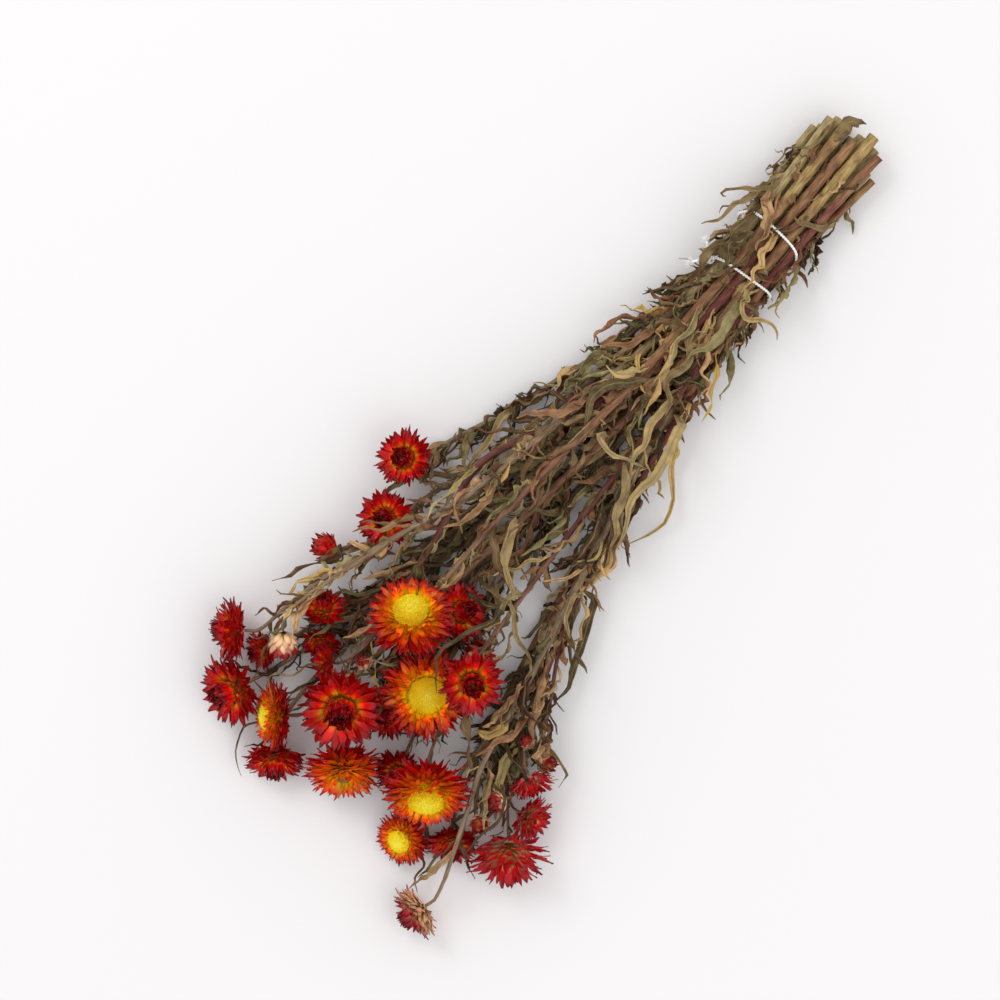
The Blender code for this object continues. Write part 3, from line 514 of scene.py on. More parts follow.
@dataclass(eq=False)
class Clearance:
    """Moves strands apart by small steps until none touches another, a head or the table."""

    strands: list[Strand]
    rounds: int = 260
    near: float = 34.0
    head_margin: float = 1.0
    head_push: float = 0.3
    head_depth: float = 0.66
    samples: tuple[float, float, float] = (0.0, 0.35, 0.7)
    smoothing: float = 0.22
    strand_push: float = 0.65
    sunk: float = 0.35
    pairs_every: int = 8
    crossing: float = 0.05
    least_distance: float = 1e-3
    least_depth: float = 0.2

    def __post_init__(self) -> None:
        """Gathers the strands' points in one array."""
        strands = self.strands
        self.first = np.cumsum([0] + [len(s.points) for s in strands])
        self.points = np.concatenate([s.points for s in strands])
        self.origin = self.points.copy()
        self.radii = np.concatenate([s.radii for s in strands])
        self.held = np.concatenate([s.held for s in strands])
        self.segments = np.concatenate(
            [np.arange(a, b - 1) for a, b in zip(self.first[:-1], self.first[1:], strict=True)]
        )
        ends = [(s.head, b - 1) for s, b in zip(strands, self.first[1:], strict=True)]
        self.own_tip = {
            head: (self.segments >= end - 3) & (self.segments < end) for head, end in ends
        }
        nodes = {name: k for k, name in enumerate(STEMS)}
        owners = np.concatenate([np.full(len(s.points), nodes[s.node]) for s in strands])
        one, two = np.triu_indices(len(self.segments), 1)
        apart = owners[self.segments[one]] != owners[self.segments[two]]
        self.one = self.segments[one[apart]]
        self.two = self.segments[two[apart]]

    def near_pairs(self) -> tuple[np.ndarray, np.ndarray]:
        """Looks for the segments that are close enough to matter.

        Returns:
            The first and the second segment of each pair.
        """
        middle = (self.points[:-1] + self.points[1:]) / 2
        gap = np.linalg.norm(middle[self.one] - middle[self.two], axis=1)
        close = gap < self.near
        return self.one[close], self.two[close]

    def part_strands(self, one: np.ndarray, two: np.ndarray) -> None:
        """Pushes each pair of segments that is too close apart.

        Args:
            one: The first segment of each pair.
            two: The second segment of each pair.
        """
        p = self.points
        s, t = nearest_between(p[one], p[one + 1], p[two], p[two + 1])
        on_one = p[one] + s[:, None] * (p[one + 1] - p[one])
        on_two = p[two] + t[:, None] * (p[two + 1] - p[two])
        between = on_one - on_two
        distance = np.linalg.norm(between, axis=1)
        need = np.maximum(self.radii[one], self.radii[one + 1])
        need = need + np.maximum(self.radii[two], self.radii[two + 1]) + STRAND_GAP
        lacking = distance < need
        if not lacking.any():
            return
        one, two, s, t = one[lacking], two[lacking], s[lacking], t[lacking]
        away = between[lacking] / np.maximum(distance[lacking], self.least_distance)[:, None]
        flat = distance[lacking] < self.crossing
        away[flat] = (0, 0, 1)
        step = away * (need[lacking] - distance[lacking])[:, None] * self.strand_push
        move = np.zeros_like(p)
        count = np.zeros(len(p))
        for index, share, sign in ((one, 1 - s, 1), (one + 1, s, 1), (two, 1 - t, -1), (two + 1, t, -1)):
            np.add.at(move, index, sign * step * share[:, None])
            np.add.at(count, index, share)
        free = ~self.held
        p[free] += move[free] / np.maximum(count[free], 1)[:, None]

    def leave_heads(self) -> None:
        """Pushes strands out of the heads, each taken as a flattened ball."""
        for share in self.samples:
            a, b = self.segments, self.segments + 1
            places = self.points[a] * (1 - share) + self.points[b] * share
            for name, head in BLOOMS.items():
                size = np.array([1.0, 1.0, self.head_depth]) * head.radius
                size = size + self.head_margin + self.radii[a][:, None]
                turn = np.array(head.frame().to_3x3())
                local = (places - np.array(head.at)) @ turn
                depth = np.linalg.norm(local / size, axis=1)
                inside = (depth < 1) & ~self.own_tip[name]
                if not inside.any():
                    continue
                out = local[inside] / np.maximum(depth[inside], self.least_depth)[:, None]
                step = ((out - local[inside]) @ turn.T) * self.head_push
                for index in (a[inside], b[inside]):
                    free = ~self.held[index]
                    self.points[index[free]] += step[free]

    def run(self) -> None:
        """Runs every round, then hands each strand its points."""
        for turn in range(self.rounds):
            if turn % self.pairs_every == 0:
                one, two = self.near_pairs()
            self.part_strands(one, two)
            self.leave_heads()
            shift = self.points - self.origin
            smooth = shift.copy()
            smooth[1:-1] = (shift[:-2] + shift[2:]) / 2
            inner = ~self.held
            inner[self.first[:-1]] = False
            inner[self.first[1:] - 1] = False
            self.points[inner] += (smooth - shift)[inner] * self.smoothing
            low = self.radii - self.sunk
            self.points[inner, 2] = np.maximum(self.points[inner, 2], low[inner])
            for k, strand in enumerate(self.strands):
                if strand.parent is not None:
                    root = self.first[self.strands.index(strand.parent)] + strand.fork
                    self.points[root] = (self.points[root] + self.points[self.first[k]]) / 2
                    self.points[self.first[k]] = self.points[root]
        for k, strand in enumerate(self.strands):
            strand.points = self.points[self.first[k]:self.first[k + 1]].copy()


class Solid:
    """A closed piece of the plain model, in millimetres, that a leaf may not meet."""

    def __init__(self, node: str, vertices: list[Vector], faces: list[tuple[int, ...]]) -> None:
        """Keeps the piece's box and search tree.

        Args:
            node: The node that the piece belongs to.
            vertices: Its points.
            faces: Its faces, as point numbers.
        """
        self.node = node
        self.low = [min(v[k] for v in vertices) - GAP for k in range(3)]
        self.high = [max(v[k] for v in vertices) + GAP for k in range(3)]
        self.tree = BVHTree.FromPolygons(vertices, faces)

    def meets(self, other: Solid) -> bool:
        """Tests whether this piece and another cross or touch.

        Args:
            other: The other piece.

        Returns:
            True where they do.
        """
        apart = any(self.low[k] > other.high[k] or other.low[k] > self.high[k] for k in range(3))
        return not apart and bool(self.tree.overlap(other.tree))


def tube(points: Sequence[Vector], radii: Sequence[float], sides: int, closed: bool = False) -> Shape:
    """A round bar along a line of points.

    Args:
        points: The line.
        radii: The radius at each point.
        sides: How many sides the bar has.
        closed: Whether the line comes back to its start.

    Returns:
        The points and faces.
    """
    count = len(points)
    points = [Vector(p) for p in points]
    vertices = []
    side = None
    for i, point in enumerate(points):
        before = points[i - 1] if i or closed else points[0]
        after = points[(i + 1) % count] if i < count - 1 or closed else points[-1]
        ahead = (after - before).normalized()
        if side is None:
            side = ahead.orthogonal().normalized()
        side = (side - ahead * side.dot(ahead)).normalized()
        up = ahead.cross(side)
        for k in range(sides):
            angle = 2 * math.pi * (k + 0.5) / sides
            vertices.append(point + (side * math.cos(angle) + up * math.sin(angle)) * radii[i])
    faces = []
    for i in range(count if closed else count - 1):
        here, there = i * sides, (i + 1) % count * sides
        for k in range(sides):
            after = (k + 1) % sides
            faces.append((here + k, here + after, there + after, there + k))
    if not closed:
        faces.append(tuple(reversed(range(sides))))
        faces.append(tuple((count - 1) * sides + k for k in range(sides)))
    return vertices, faces


@dataclass
class Leaf:
    """A leaf's line, its width and normal at each point of the line, and its tone from dark to yellow."""

    points: list[Vector]
    widths: list[float]
    normals: list[Vector]
    tone: float = 0.5
    marked: bool = False


def blade(leaf: Leaf, thickness: float, fold: float, grow: float = 0.0) -> Shape:
    """The plain model's leaf blade: flat-topped, with a rib below, pointed at its tip.

    Args:
        leaf: The leaf's line.
        thickness: The depth of the rib.
        fold: How far the edges lift.
        grow: How much to swell the blade, to test its clearance.

    Returns:
        The points and faces.
    """
    points = [Vector(p) for p in leaf.points]
    stations = len(points) - 2
    ahead = (points[-1] - points[-2]).normalized()
    vertices = [points[0] - (points[1] - points[0]).normalized() * grow]
    for i in range(1, stations + 1):
        along = (points[i + 1] - points[i - 1]).normalized()
        normal = (leaf.normals[i] - along * leaf.normals[i].dot(along)).normalized()
        side = along.cross(normal) * (leaf.widths[i] / 2 + grow)
        lift = normal * (fold + grow)
        keel = points[i] - normal * (thickness + grow)
        vertices += [points[i] + side + lift, points[i] - side + lift, keel]
    vertices.append(points[-1] + ahead * grow)
    faces = [(0, 2, 1), (0, 3, 2), (0, 1, 3)]
    for i in range(stations - 1):
        a = 1 + 3 * i
        for k, m in ((0, 1), (1, 2), (2, 0)):
            faces.append((a + k, a + m, a + 3 + m))
            faces.append((a + k, a + 3 + m, a + 3 + k))
    last = 1 + 3 * (stations - 1)
    tip = len(vertices) - 1
    faces += [(last, last + 1, tip), (last + 1, last + 2, tip), (last + 2, last, tip)]
    return vertices, faces


@dataclass(eq=False)
class Leaves:
    """Finds the places of the plain model's leaves again, then adds smaller ones between them."""

    strands: list[Strand]
    solids: list[Solid]
    rng: random.Random
    tries: int = 14
    thickness: float = 0.9
    fold: float = 0.25
    lift_step: float = 2.0
    stalk_share: float = 0.75
    ribbon_normal: tuple[float, float, float] = (0.1, 0.2, 1.0)
    ribbon_widths: tuple[float, ...] = (0, 0.7, 1.0, 0.8, 0.5, 0)
    draped_share: float = 0.75
    steps: int = 4
    lean: Span = (14, 48)
    length: Span = (28, 60)
    width: Span = (3.6, 8.0)
    shoulder: float = 0.75
    tail: Span = (0.5, 0.8)
    curl: Span = (-0.3, 0.15)
    sway: Span = (-0.24, 0.24)
    droop: Span = (0.0, 0.1)
    twist: Span = (-0.5, 0.5)
    spacing: Span = (0.2, 0.8)
    retry_turn: float = 1.1
    furthest: Span = (-94.0, 396.0)
    outline: Route = (
        (-95, -24, 32), (-40, -46, 32), (0, -36, 30), (100, -46, 38), (200, -76, 56), (300, -98, 95),
    )

    def __post_init__(self) -> None:
        """Starts with no leaf placed."""
        self.placed: dict[str, list[Leaf]] = {name: [] for name in STEMS}
        self.draped: dict[str, list[Leaf]] = {name: [] for name in STEMS}

    def in_outline(self, leaf: Leaf) -> bool:
        """Tests whether a leaf stays over the table and inside the bunch's outline.

        Args:
            leaf: The leaf to test.

        Returns:
            True where it does.
        """
        if min(p[2] for p in leaf.points[1:]) < self.thickness + GAP:
            return False
        along, left, right = zip(*self.outline, strict=True)
        for point in leaf.points[1:]:
            if not np.interp(point.x, along, left) < point.y < np.interp(point.x, along, right):
                return False
            if not self.furthest[0] < point.x < self.furthest[1]:
                return False
        return True

    def fits(self, node: str, leaf: Leaf) -> bool:
        """Tests whether a blade clears the table, every other node and its own stem's other leaves.

        Args:
            node: The stem that the leaf grows on.
            leaf: The leaf to test.

        Returns:
            True where it fits.
        """
        if not self.in_outline(leaf):
            return False
        trial = Solid(node, *blade(leaf, self.thickness, self.fold, GAP))
        rest = Leaf(leaf.points[1:], leaf.widths[1:], leaf.normals[1:])
        tail = Solid(node, *blade(rest, self.thickness, self.fold))
        return not any((tail if other.node == node else trial).meets(other) for other in self.solids)

    def add(self, node: str, leaf: Leaf) -> None:
        """Keeps a leaf, and its blade as something that later leaves must clear."""
        self.solids.append(Solid(node, *blade(leaf, self.thickness, self.fold)))
        self.placed[node].append(leaf)

    def on_ribbons(self) -> None:
        """Places the leaves that stand out, each raised until it clears what is under it."""
        for node, width, route, tone in RIBBONS.values():
            own = [s for s in self.strands if s.node == node]
            centre = np.concatenate([s.points for s in own])
            root = Vector(centre[np.argmin(np.linalg.norm(centre - np.array(route[0]), axis=1))])
            widths = [width * share for share in self.ribbon_widths]
            for lift in range(self.tries):
                raised = [Vector(p) + Vector((0, 0, lift * self.lift_step)) for p in route]
                points = [root, root.lerp(raised[0], self.stalk_share), *raised]
                leaf = Leaf(points, widths, [Vector(self.ribbon_normal)] * len(points), tone, marked=True)
                if self.fits(node, leaf):
                    self.add(node, leaf)
                    break
            else:
                points = [root, root.lerp(Vector(route[0]), self.stalk_share), *map(Vector, route)]
                normals = [Vector(self.ribbon_normal)] * len(points)
                narrow = [share * self.draped_share for share in widths]
                self.draped[node].append(Leaf(points, narrow, normals, tone, marked=True))

    def candidate(self, strand: Strand, share: float, turn: float) -> Leaf:
        """A random dried leaf.

        Args:
            strand: What it grows on.
            share: How far along.
            turn: Its place round the strand, in radians.

        Returns:
            The leaf.
        """
        rng = self.rng
        place = share * (len(strand.points) - 1)
        index = int(place)
        root = Vector(strand.points[index]).lerp(Vector(strand.points[index + 1]), place - index)
        along = (Vector(strand.points[index + 1]) - Vector(strand.points[index])).normalized()
        out = along.orthogonal().normalized()
        out.rotate(Matrix.Rotation(turn, 3, along))
        lean = math.radians(rng.uniform(*self.lean))
        way = along * math.cos(lean) + out * math.sin(lean)
        step = rng.uniform(*self.length) / self.steps
        curl = out * rng.uniform(*self.curl) + along.cross(out) * rng.uniform(*self.sway)
        curl += Vector((0, 0, -rng.uniform(*self.droop)))
        points = [root]
        for _ in range(self.steps):
            points.append(points[-1] + way * step)
            way = (way + curl).normalized()
        width = rng.uniform(*self.width)
        widths = [0, width * self.shoulder, width, width * rng.uniform(*self.tail), 0]
        twist = rng.uniform(*self.twist)
        normals = []
        for i in range(self.steps + 1):
            normal = out.copy()
            normal.rotate(Matrix.Rotation(twist * i, 3, along))
            normals.append(normal)
        return Leaf(points, widths, normals)

    def on_strand(self, strand: Strand, count: int, begin: float, end: float) -> None:
        """Spaces leaves along a strand in a spiral, and leaves out what finds no room.

        Args:
            strand: What they grow on.
            count: How many to try.
            begin: The first leaf's share of the way along.
            end: The last leaf's.
        """
        for k in range(count):
            share = begin + (end - begin) * (k + self.rng.uniform(*self.spacing)) / count
            for attempt in range(self.tries):
                turn = k * GOLDEN_ANGLE + attempt * self.retry_turn
                leaf = self.candidate(strand, share, turn)
                if self.fits(strand.node, leaf):
                    self.add(strand.node, leaf)
                    break


def bloom_solid(head: Bloom, rng: random.Random) -> Shape:
    """The plain model's head: notched whorls round a core, as something that a leaf must clear.

    Args:
        head: The head's layout.
        rng: The seeded source of every random draw.

    Returns:
        The points and faces, in the bunch's axes.
    """
    form = FORMS[head.opening]
    count = form.bracts
    vertices: list[Vector] = []

    def ring(radius: float, height: float, phase: float, wobble: float = 0.0) -> int:
        """Adds one ring of points.

        Args:
            radius: Its radius, as a share of the head's.
            height: Its height over the rim, as a share.
            phase: How far it is turned, in bracts.
            wobble: How much its points stray.

        Returns:
            The number of its first point.
        """
        first = len(vertices)
        for k in range(count):
            angle = 2 * math.pi * (k + phase) / count
            reach = radius * head.radius * (1 + rng.uniform(-wobble, wobble))
            rise = height * head.radius + rng.uniform(-wobble, wobble) * head.radius * form.rise_wobble
            vertices.append(Vector((reach * math.cos(angle), reach * math.sin(angle), rise)))
        return first

    pole = len(vertices)
    vertices.append(Vector((0, 0, form.pole * head.radius)))
    phase = 0.0
    below = ring(*form.back, phase)
    faces = [(pole, below + (k + 1) % count, below + k) for k in range(count)]
    for tip_r, tip_z, notch_r, notch_z, ring_r, ring_z in form.whorls:
        tips = ring(tip_r, tip_z, phase + 0.5, form.tip_wobble)
        notches = ring(notch_r, notch_z, phase + 1.0, form.notch_wobble)
        above = ring(ring_r, ring_z, phase + 0.5)
        for k in range(count):
            after = (k + 1) % count
            faces.append((below + k, below + after, tips + k))
            faces.append((below + after, notches + k, tips + k))
            faces.append((below + after, tips + after, notches + k))
            faces.append((above + k, tips + k, notches + k))
            faces.append((above + k, notches + k, above + after))
            faces.append((notches + k, tips + after, above + after))
        below = above
        phase += 0.5
    crown = len(vertices)
    vertices.append(Vector((0, 0, form.crown * head.radius)))
    faces += [(below + k, below + (k + 1) % count, crown) for k in range(count)]
    frame = head.frame()
    return [frame @ v for v in vertices], faces


@dataclass(frozen=True)
class TieLayout:
    """The string's route, in millimetres from the tie's middle."""

    radius: float = 0.65
    space: float = 0.35
    steps: int = 22
    sides: int = 4
    turns: tuple[Span, ...] = ((-12.0, -7.0), (18.0, 12.5))
    knot_step: int = 9
    knot_radii: tuple[float, ...] = (0.6, 1.6, 2.0, 0.8)
    knot_places: tuple[float, ...] = (-2.2, -1.0, 0.4, 1.4)
    knot_sides: int = 6
    knot_out: float = 2.4
    out: tuple[float, float, float] = (0, -0.9, 0.5)
    cross_past: float = 1.0
    cross_rise: float = 0.4
    ends: Route = ((9, -8, 2), (-8, -9, 3))
    end_sag: float = 1.5
    bows: Span = (8.5, 3.0)
    fine_steps: int = 96
    fine_space: float = 1.35
    eases: int = 50

    def ring(self, left: float, right: float, fine: bool = False, bow: float = 0.0) -> list[Vector]:
        """One turn, as the line that a tight string takes round the stems.

        Args:
            left: Its place along the bunch at the bunch's left.
            right: Its place along the bunch at the right.
            fine: Whether it is the twine's own smooth line, not the plain model's.
            bow: How far the top of the turn is drawn towards the cut ends.

        Returns:
            The points.
        """
        steps, space = (self.fine_steps, self.fine_space) if fine else (self.steps, self.space)
        slots = [(Vector(s.slot), s.radius) for s in STEMS.values()]
        points = []
        for k in range(steps):
            angle = math.tau * k / steps
            way = Vector((math.cos(angle), math.sin(angle)))
            centre, radius = max(slots, key=lambda s: s[0].dot(way) + s[1])
            reach = centre + way * (radius + self.radius + space)
            share = (way.x + 1) / 2
            over = max(0.0, way.y) * bow
            points.append(Vector((left + (right - left) * share - over, reach.x, reach.y)))
        for _ in range(self.eases if fine else 0):
            points = [(points[k - 1] + p * 2 + points[(k + 1) % steps]) / 4 for k, p in enumerate(points)]
        return points

    def knot(self) -> tuple[Vector, Vector, Vector, Vector]:
        """The joined points of the two turns, the way out of the bunch, and the knot's middle."""
        first, last = (self.ring(*turn)[self.knot_step] for turn in self.turns)
        return first, last, Vector(self.out), last + Vector(self.out) * self.knot_out

    def cross(self) -> list[Vector]:
        """Leads the strand that joins the two turns a little past each of them.

        Returns:
            The points.
        """
        first, last, out, _ = self.knot()
        past = Vector((self.cross_past, 0, 0))
        return [first - past, first.lerp(last, 0.5) + out * self.cross_rise, last + past]

    def tail(self, end: Vector, share: float = 1.0) -> list[Vector]:
        """A loose end of the string, from the knot to a share of its length."""
        knot = self.knot()[-1]
        return [knot, knot + end / 2 + Vector((0, 0, self.end_sag)), knot + end * share]

    def solids(self) -> list[Shape]:
        """Lays the plain model's pieces, as something that a leaf must clear.

        Returns:
            The two turns, the crossing strand, the knot and the two ends.
        """
        around = [self.radius] * self.steps
        made = [tube(self.ring(*turn), around, self.sides, closed=True) for turn in self.turns]
        made.append(tube(self.cross(), around, self.sides))
        _, _, out, knot = self.knot()
        lump = [knot + out * place for place in self.knot_places]
        made.append(tube(lump, self.knot_radii, self.knot_sides))
        made += [tube(self.tail(Vector(end)), around, self.sides) for end in self.ends]
        return made


@dataclass
class Layout:
    """The whole bunch's lines: strands spread apart, and leaves in their places."""

    extra_per_stem: int = 84
    extra_on_top: int = 46
    top_slot: float = 15.0
    extra_per_branch: int = 9
    branch_leaves: int = 2
    on_stem: Span = (0.04, 0.93)
    on_branch: Span = (0.3, 0.85)
    extra_on_stem: Span = (0.02, 0.93)
    extra_on_branch: Span = (0.25, 0.9)
    tufted: Span = (0.01, 0.30)
    bare_from: float = 292.0
    bare_share: float = 0.75
    tucked: Span = (0.8, 0.7)
    stem_sides: int = 6
    branch_sides: int = 5

    def __post_init__(self) -> None:
        """Works the layout out, in the plain model's own order, so that it draws the same numbers."""
        rng = random.Random(SEED)
        solids = [Solid(name, *bloom_solid(head, rng)) for name, head in BLOOMS.items()]
        self.tie = TieLayout()
        solids += [Solid("tie", *shape) for shape in self.tie.solids()]
        self.strands: list[Strand] = []
        for name, stem in STEMS.items():
            main = Strand.main(name, stem)
            self.strands.append(main)
            for head in stem.heads[1:]:
                self.strands.append(Strand.branch(name, head, main))
        Clearance(self.strands).run()
        for strand in self.strands:
            sides = self.branch_sides if strand.parent else self.stem_sides
            solids.append(Solid(strand.node, *tube(strand.points, strand.radii, sides)))
        growth = Leaves(self.strands, solids, rng)
        growth.on_ribbons()
        for strand in self.strands:
            if strand.parent is None:
                growth.on_strand(strand, STEMS[strand.node].leaves, *self.on_stem)
            else:
                growth.on_strand(strand, self.branch_leaves, *self.on_branch)
        self.leaves = growth.placed
        self.extra = self.fill(growth)

    def fill(self, growth: Leaves) -> dict[str, list[Leaf]]:
        """Smaller crumpled leaves that lie along the strands and may touch each other.

        Args:
            growth: The leaves that are already placed.

        Returns:
            The new leaves of each stem.
        """
        rng = random.Random(SEED + 1)
        small = Leaves(
            self.strands, growth.solids, rng, length=(11, 38), width=(1.2, 7.2), lean=(5, 46),
            curl=(-0.75, 0.40), sway=(-0.65, 0.65), twist=(-1.3, 1.3),
        )
        heads = [s for s in growth.solids if s.node.startswith("bloom") or s.node == "tie"]
        made = {name: list(leaves) for name, leaves in growth.draped.items()}
        for node, width, route, tone in CRUMPLED:
            points = [Vector(p) for p in (route[0], *route, route[-1])]
            points[0] -= (points[2] - points[1]) * self.tucked[0]
            points[-1] += (points[-2] - points[-3]) * self.tucked[1]
            widths = [width * share for share in small.ribbon_widths]
            normals = [Vector(small.ribbon_normal)] * len(points)
            made[node].append(Leaf(points, widths, normals, tone, marked=True))
        LOG.info("leaves draped over the rest: %s", sum(map(len, made.values())))
        runs = []
        for strand in self.strands:
            if strand.parent:
                runs.append((strand, self.extra_per_branch, *self.extra_on_branch))
            else:
                on_top = STEMS[strand.node].slot[1] > self.top_slot
                extra = self.extra_on_top if on_top else self.extra_per_stem
                runs.append((strand, extra, *self.extra_on_stem))
                runs.append((strand, TUFTS.get(strand.node, 0), *self.tufted))
        for strand, count, begin, end in runs:
            for k in range(count):
                share = begin + (end - begin) * (k + rng.random()) / count
                place = strand.points[int(share * (len(strand.points) - 1))]
                if place[0] > self.bare_from and rng.random() < self.bare_share:
                    continue
                for attempt in range(small.tries):
                    leaf = small.candidate(strand, share, k * GOLDEN_ANGLE + attempt)
                    leaf.tone = rng.random()
                    trial = Solid(strand.node, *blade(leaf, small.thickness, small.fold))
                    if small.in_outline(leaf) and not any(trial.meets(head) for head in heads):
                        made[strand.node].append(leaf)
                        break
        return made


def linear(hex_colour: str) -> tuple[float, float, float, float]:
    """Turns an sRGB hex colour to linear.

    Args:
        hex_colour: Six hex digits after a hash.

    Returns:
        Red, green, blue and an alpha of 1.
    """
    parts = [int(hex_colour[k:k + 2], 16) / 255 for k in (1, 3, 5)]
    red, green, blue = (c / 12.92 if c <= 0.04045 else ((c + 0.055) / 1.055) ** 2.4 for c in parts)
    return red, green, blue, 1.0


def per_metre(size: float) -> float:
    """How often a pattern of a size in millimetres comes in a metre, which is a noise's scale."""
    return 1 / (size * MM)


# A colour Mix node's sockets: its factor, its two colours and its result
FACTOR, ONE, OTHER, MIXED = 0, 6, 7, 2


class Surface:
    """A node material that is being put together."""

    def __init__(self, name: str, roughness: float, specular: float = 0.5) -> None:
        """Starts from a plain Principled BSDF.

        Args:
            name: The material's name.
            roughness: Its roughness.
            specular: Its specular level.
        """
        self.material = bpy.data.materials.new(name)
        self.material.use_nodes = True
        self.nodes = self.material.node_tree.nodes
        self.shader = self.nodes["Principled BSDF"]
        self.shader.inputs["Roughness"].default_value = roughness
        self.shader.inputs["Specular IOR Level"].default_value = specular

    def add(self, kind: str, settings: dict | None = None, links: dict | None = None) -> bpy.types.Node:
        """Adds a node.

        Args:
            kind: The node's type name, without its "ShaderNode".
            settings: Properties by name, unlinked sockets by name or number, and a colour ramp's stops, each
                a place and an sRGB colour.
            links: For each input socket, what feeds it.

        Returns:
            The node.
        """
        node = self.nodes.new(f"ShaderNode{kind}")
        for key, value in (settings or {}).items():
            if key == "stops":
                elements = node.color_ramp.elements
                while len(elements) < len(value):
                    elements.new(1.0)
                for element, (place, colour) in zip(elements, value, strict=True):
                    element.position = place
                    element.color = linear(colour)
            elif isinstance(key, int) or key in node.inputs:
                node.inputs[key].default_value = value
            else:
                setattr(node, key, value)
        for key, source in (links or {}).items():
            self.link(source, node.inputs[key])
        return node

    def link(self, source: Source, target: bpy.types.NodeSocket) -> None:
        """Feeds a socket.

        Args:
            source: Another node's socket, or a node whose first output is meant.
            target: The socket to feed.
        """
        if isinstance(source, bpy.types.Node):
            source = source.outputs[0]
        self.material.node_tree.links.new(source, target)

    def dress(self, colour: Source, relief: Source | None = None) -> None:
        """Finishes the surface.

        Args:
            colour: What feeds its colour.
            relief: What feeds its normal, if anything does.
        """
        self.link(colour, self.shader.inputs["Base Color"])
        if relief:
            self.link(relief, self.shader.inputs["Normal"])


@dataclass(frozen=True)
class PaperyBract:
    """Strawflower bracts: stiff, shiny dry scales, coloured from root to tip and from outer to inner rows."""

    name: str
    outer: Stops
    inner: Stops
    rows: Span = (0.2, 0.8)
    roughness: float = 0.22
    specular: float = 0.25
    width: float = 4.0
    length: float = 14.0
    vein: float = 0.28
    vein_run: float = 10.0
    streak: float = 0.34
    drift: float = 0.24
    darkest: float = 0.62
    lighter: float = 0.70
    apart: float = 60.0
    relief: float = 0.0004

    def build(self) -> bpy.types.Material:
        """Puts the material together, which reads each bract's own map and its row.

        Returns:
            The material.
        """
        s = Surface(self.name, self.roughness, self.specular)
        mapped = s.add("UVMap", {"uv_map": "UVMap"})
        split = s.add("SeparateXYZ", links={0: mapped})
        row = s.add("Attribute", {"attribute_name": "row"}).outputs["Fac"]
        tone = s.add("Attribute", {"attribute_name": "tone"}).outputs["Fac"]
        # Fine veins run from root to tip, and give each bract a silky, streaked look
        repeats = (self.width / self.vein, self.length / self.vein_run, 1.0)
        stretch = s.add("VectorMath", {"operation": "MULTIPLY", 1: repeats}, {0: mapped})
        place = s.add("CombineXYZ", links={2: tone})
        far = s.add("VectorMath", {"operation": "SCALE", "Scale": self.apart}, {0: place})
        shift = s.add("VectorMath", {"operation": "ADD"}, {0: stretch, 1: far})
        veins = s.add("TexNoise", {"Scale": 1.0, "Detail": 2.0}, {"Vector": shift})
        wander = s.add("Math", {"operation": "MULTIPLY_ADD", 1: self.streak, 2: -self.streak / 2}, {0: veins})
        level = s.add("Math", {"operation": "ADD"}, {0: split.outputs["Y"], 1: wander})
        offset = s.add("Math", {"operation": "MULTIPLY_ADD", 1: self.drift, 2: -self.drift / 2}, {0: tone})
        moved = s.add("Math", {"operation": "ADD"}, {0: level, 1: offset})
        outer = s.add("ValToRGB", {"stops": self.outer}, {0: moved})
        inner = s.add("ValToRGB", {"stops": self.inner}, {0: moved})
        change = s.add("MapRange", {"From Min": self.rows[0], "From Max": self.rows[1]}, {"Value": row})
        mixed = s.add("Mix", {"data_type": "RGBA"}, {FACTOR: change, ONE: outer, OTHER: inner})
        # Each bract is a little lighter or darker than its neighbours
        gain = s.add("Math", {"operation": "MULTIPLY_ADD", 1: self.lighter, 2: self.darkest}, {0: tone})
        shaded = s.add(
            "Mix", {"data_type": "RGBA", "blend_type": "MULTIPLY", FACTOR: 1.0},
            {ONE: mixed.outputs[MIXED], OTHER: gain},
        )
        bump = s.add("Bump", {"Strength": 0.35, "Distance": self.relief}, {"Height": veins})
        s.dress(shaded.outputs[MIXED], bump)
        return s.material


@dataclass(frozen=True)
class Florets:
    """The disc of tiny tubular florets: dry, soft and matte, gold at their feet and pale at their mouths."""

    name: str = "dried disc florets"
    stops: Stops = ((0.0, "#eda80a"), (0.3, "#fbc80c"), (0.5, "#ffe216"), (0.75, "#fff23a"), (1.0, "#fffa86"))

    def build(self) -> bpy.types.Material:
        """Puts the material together, which reads each floret's tone.

        Returns:
            The material.
        """
        s = Surface(self.name, 0.7, 0.2)
        tone = s.add("Attribute", {"attribute_name": "tone"})
        s.dress(s.add("ValToRGB", {"stops": self.stops}, {0: tone.outputs["Fac"]}))
        return s.material


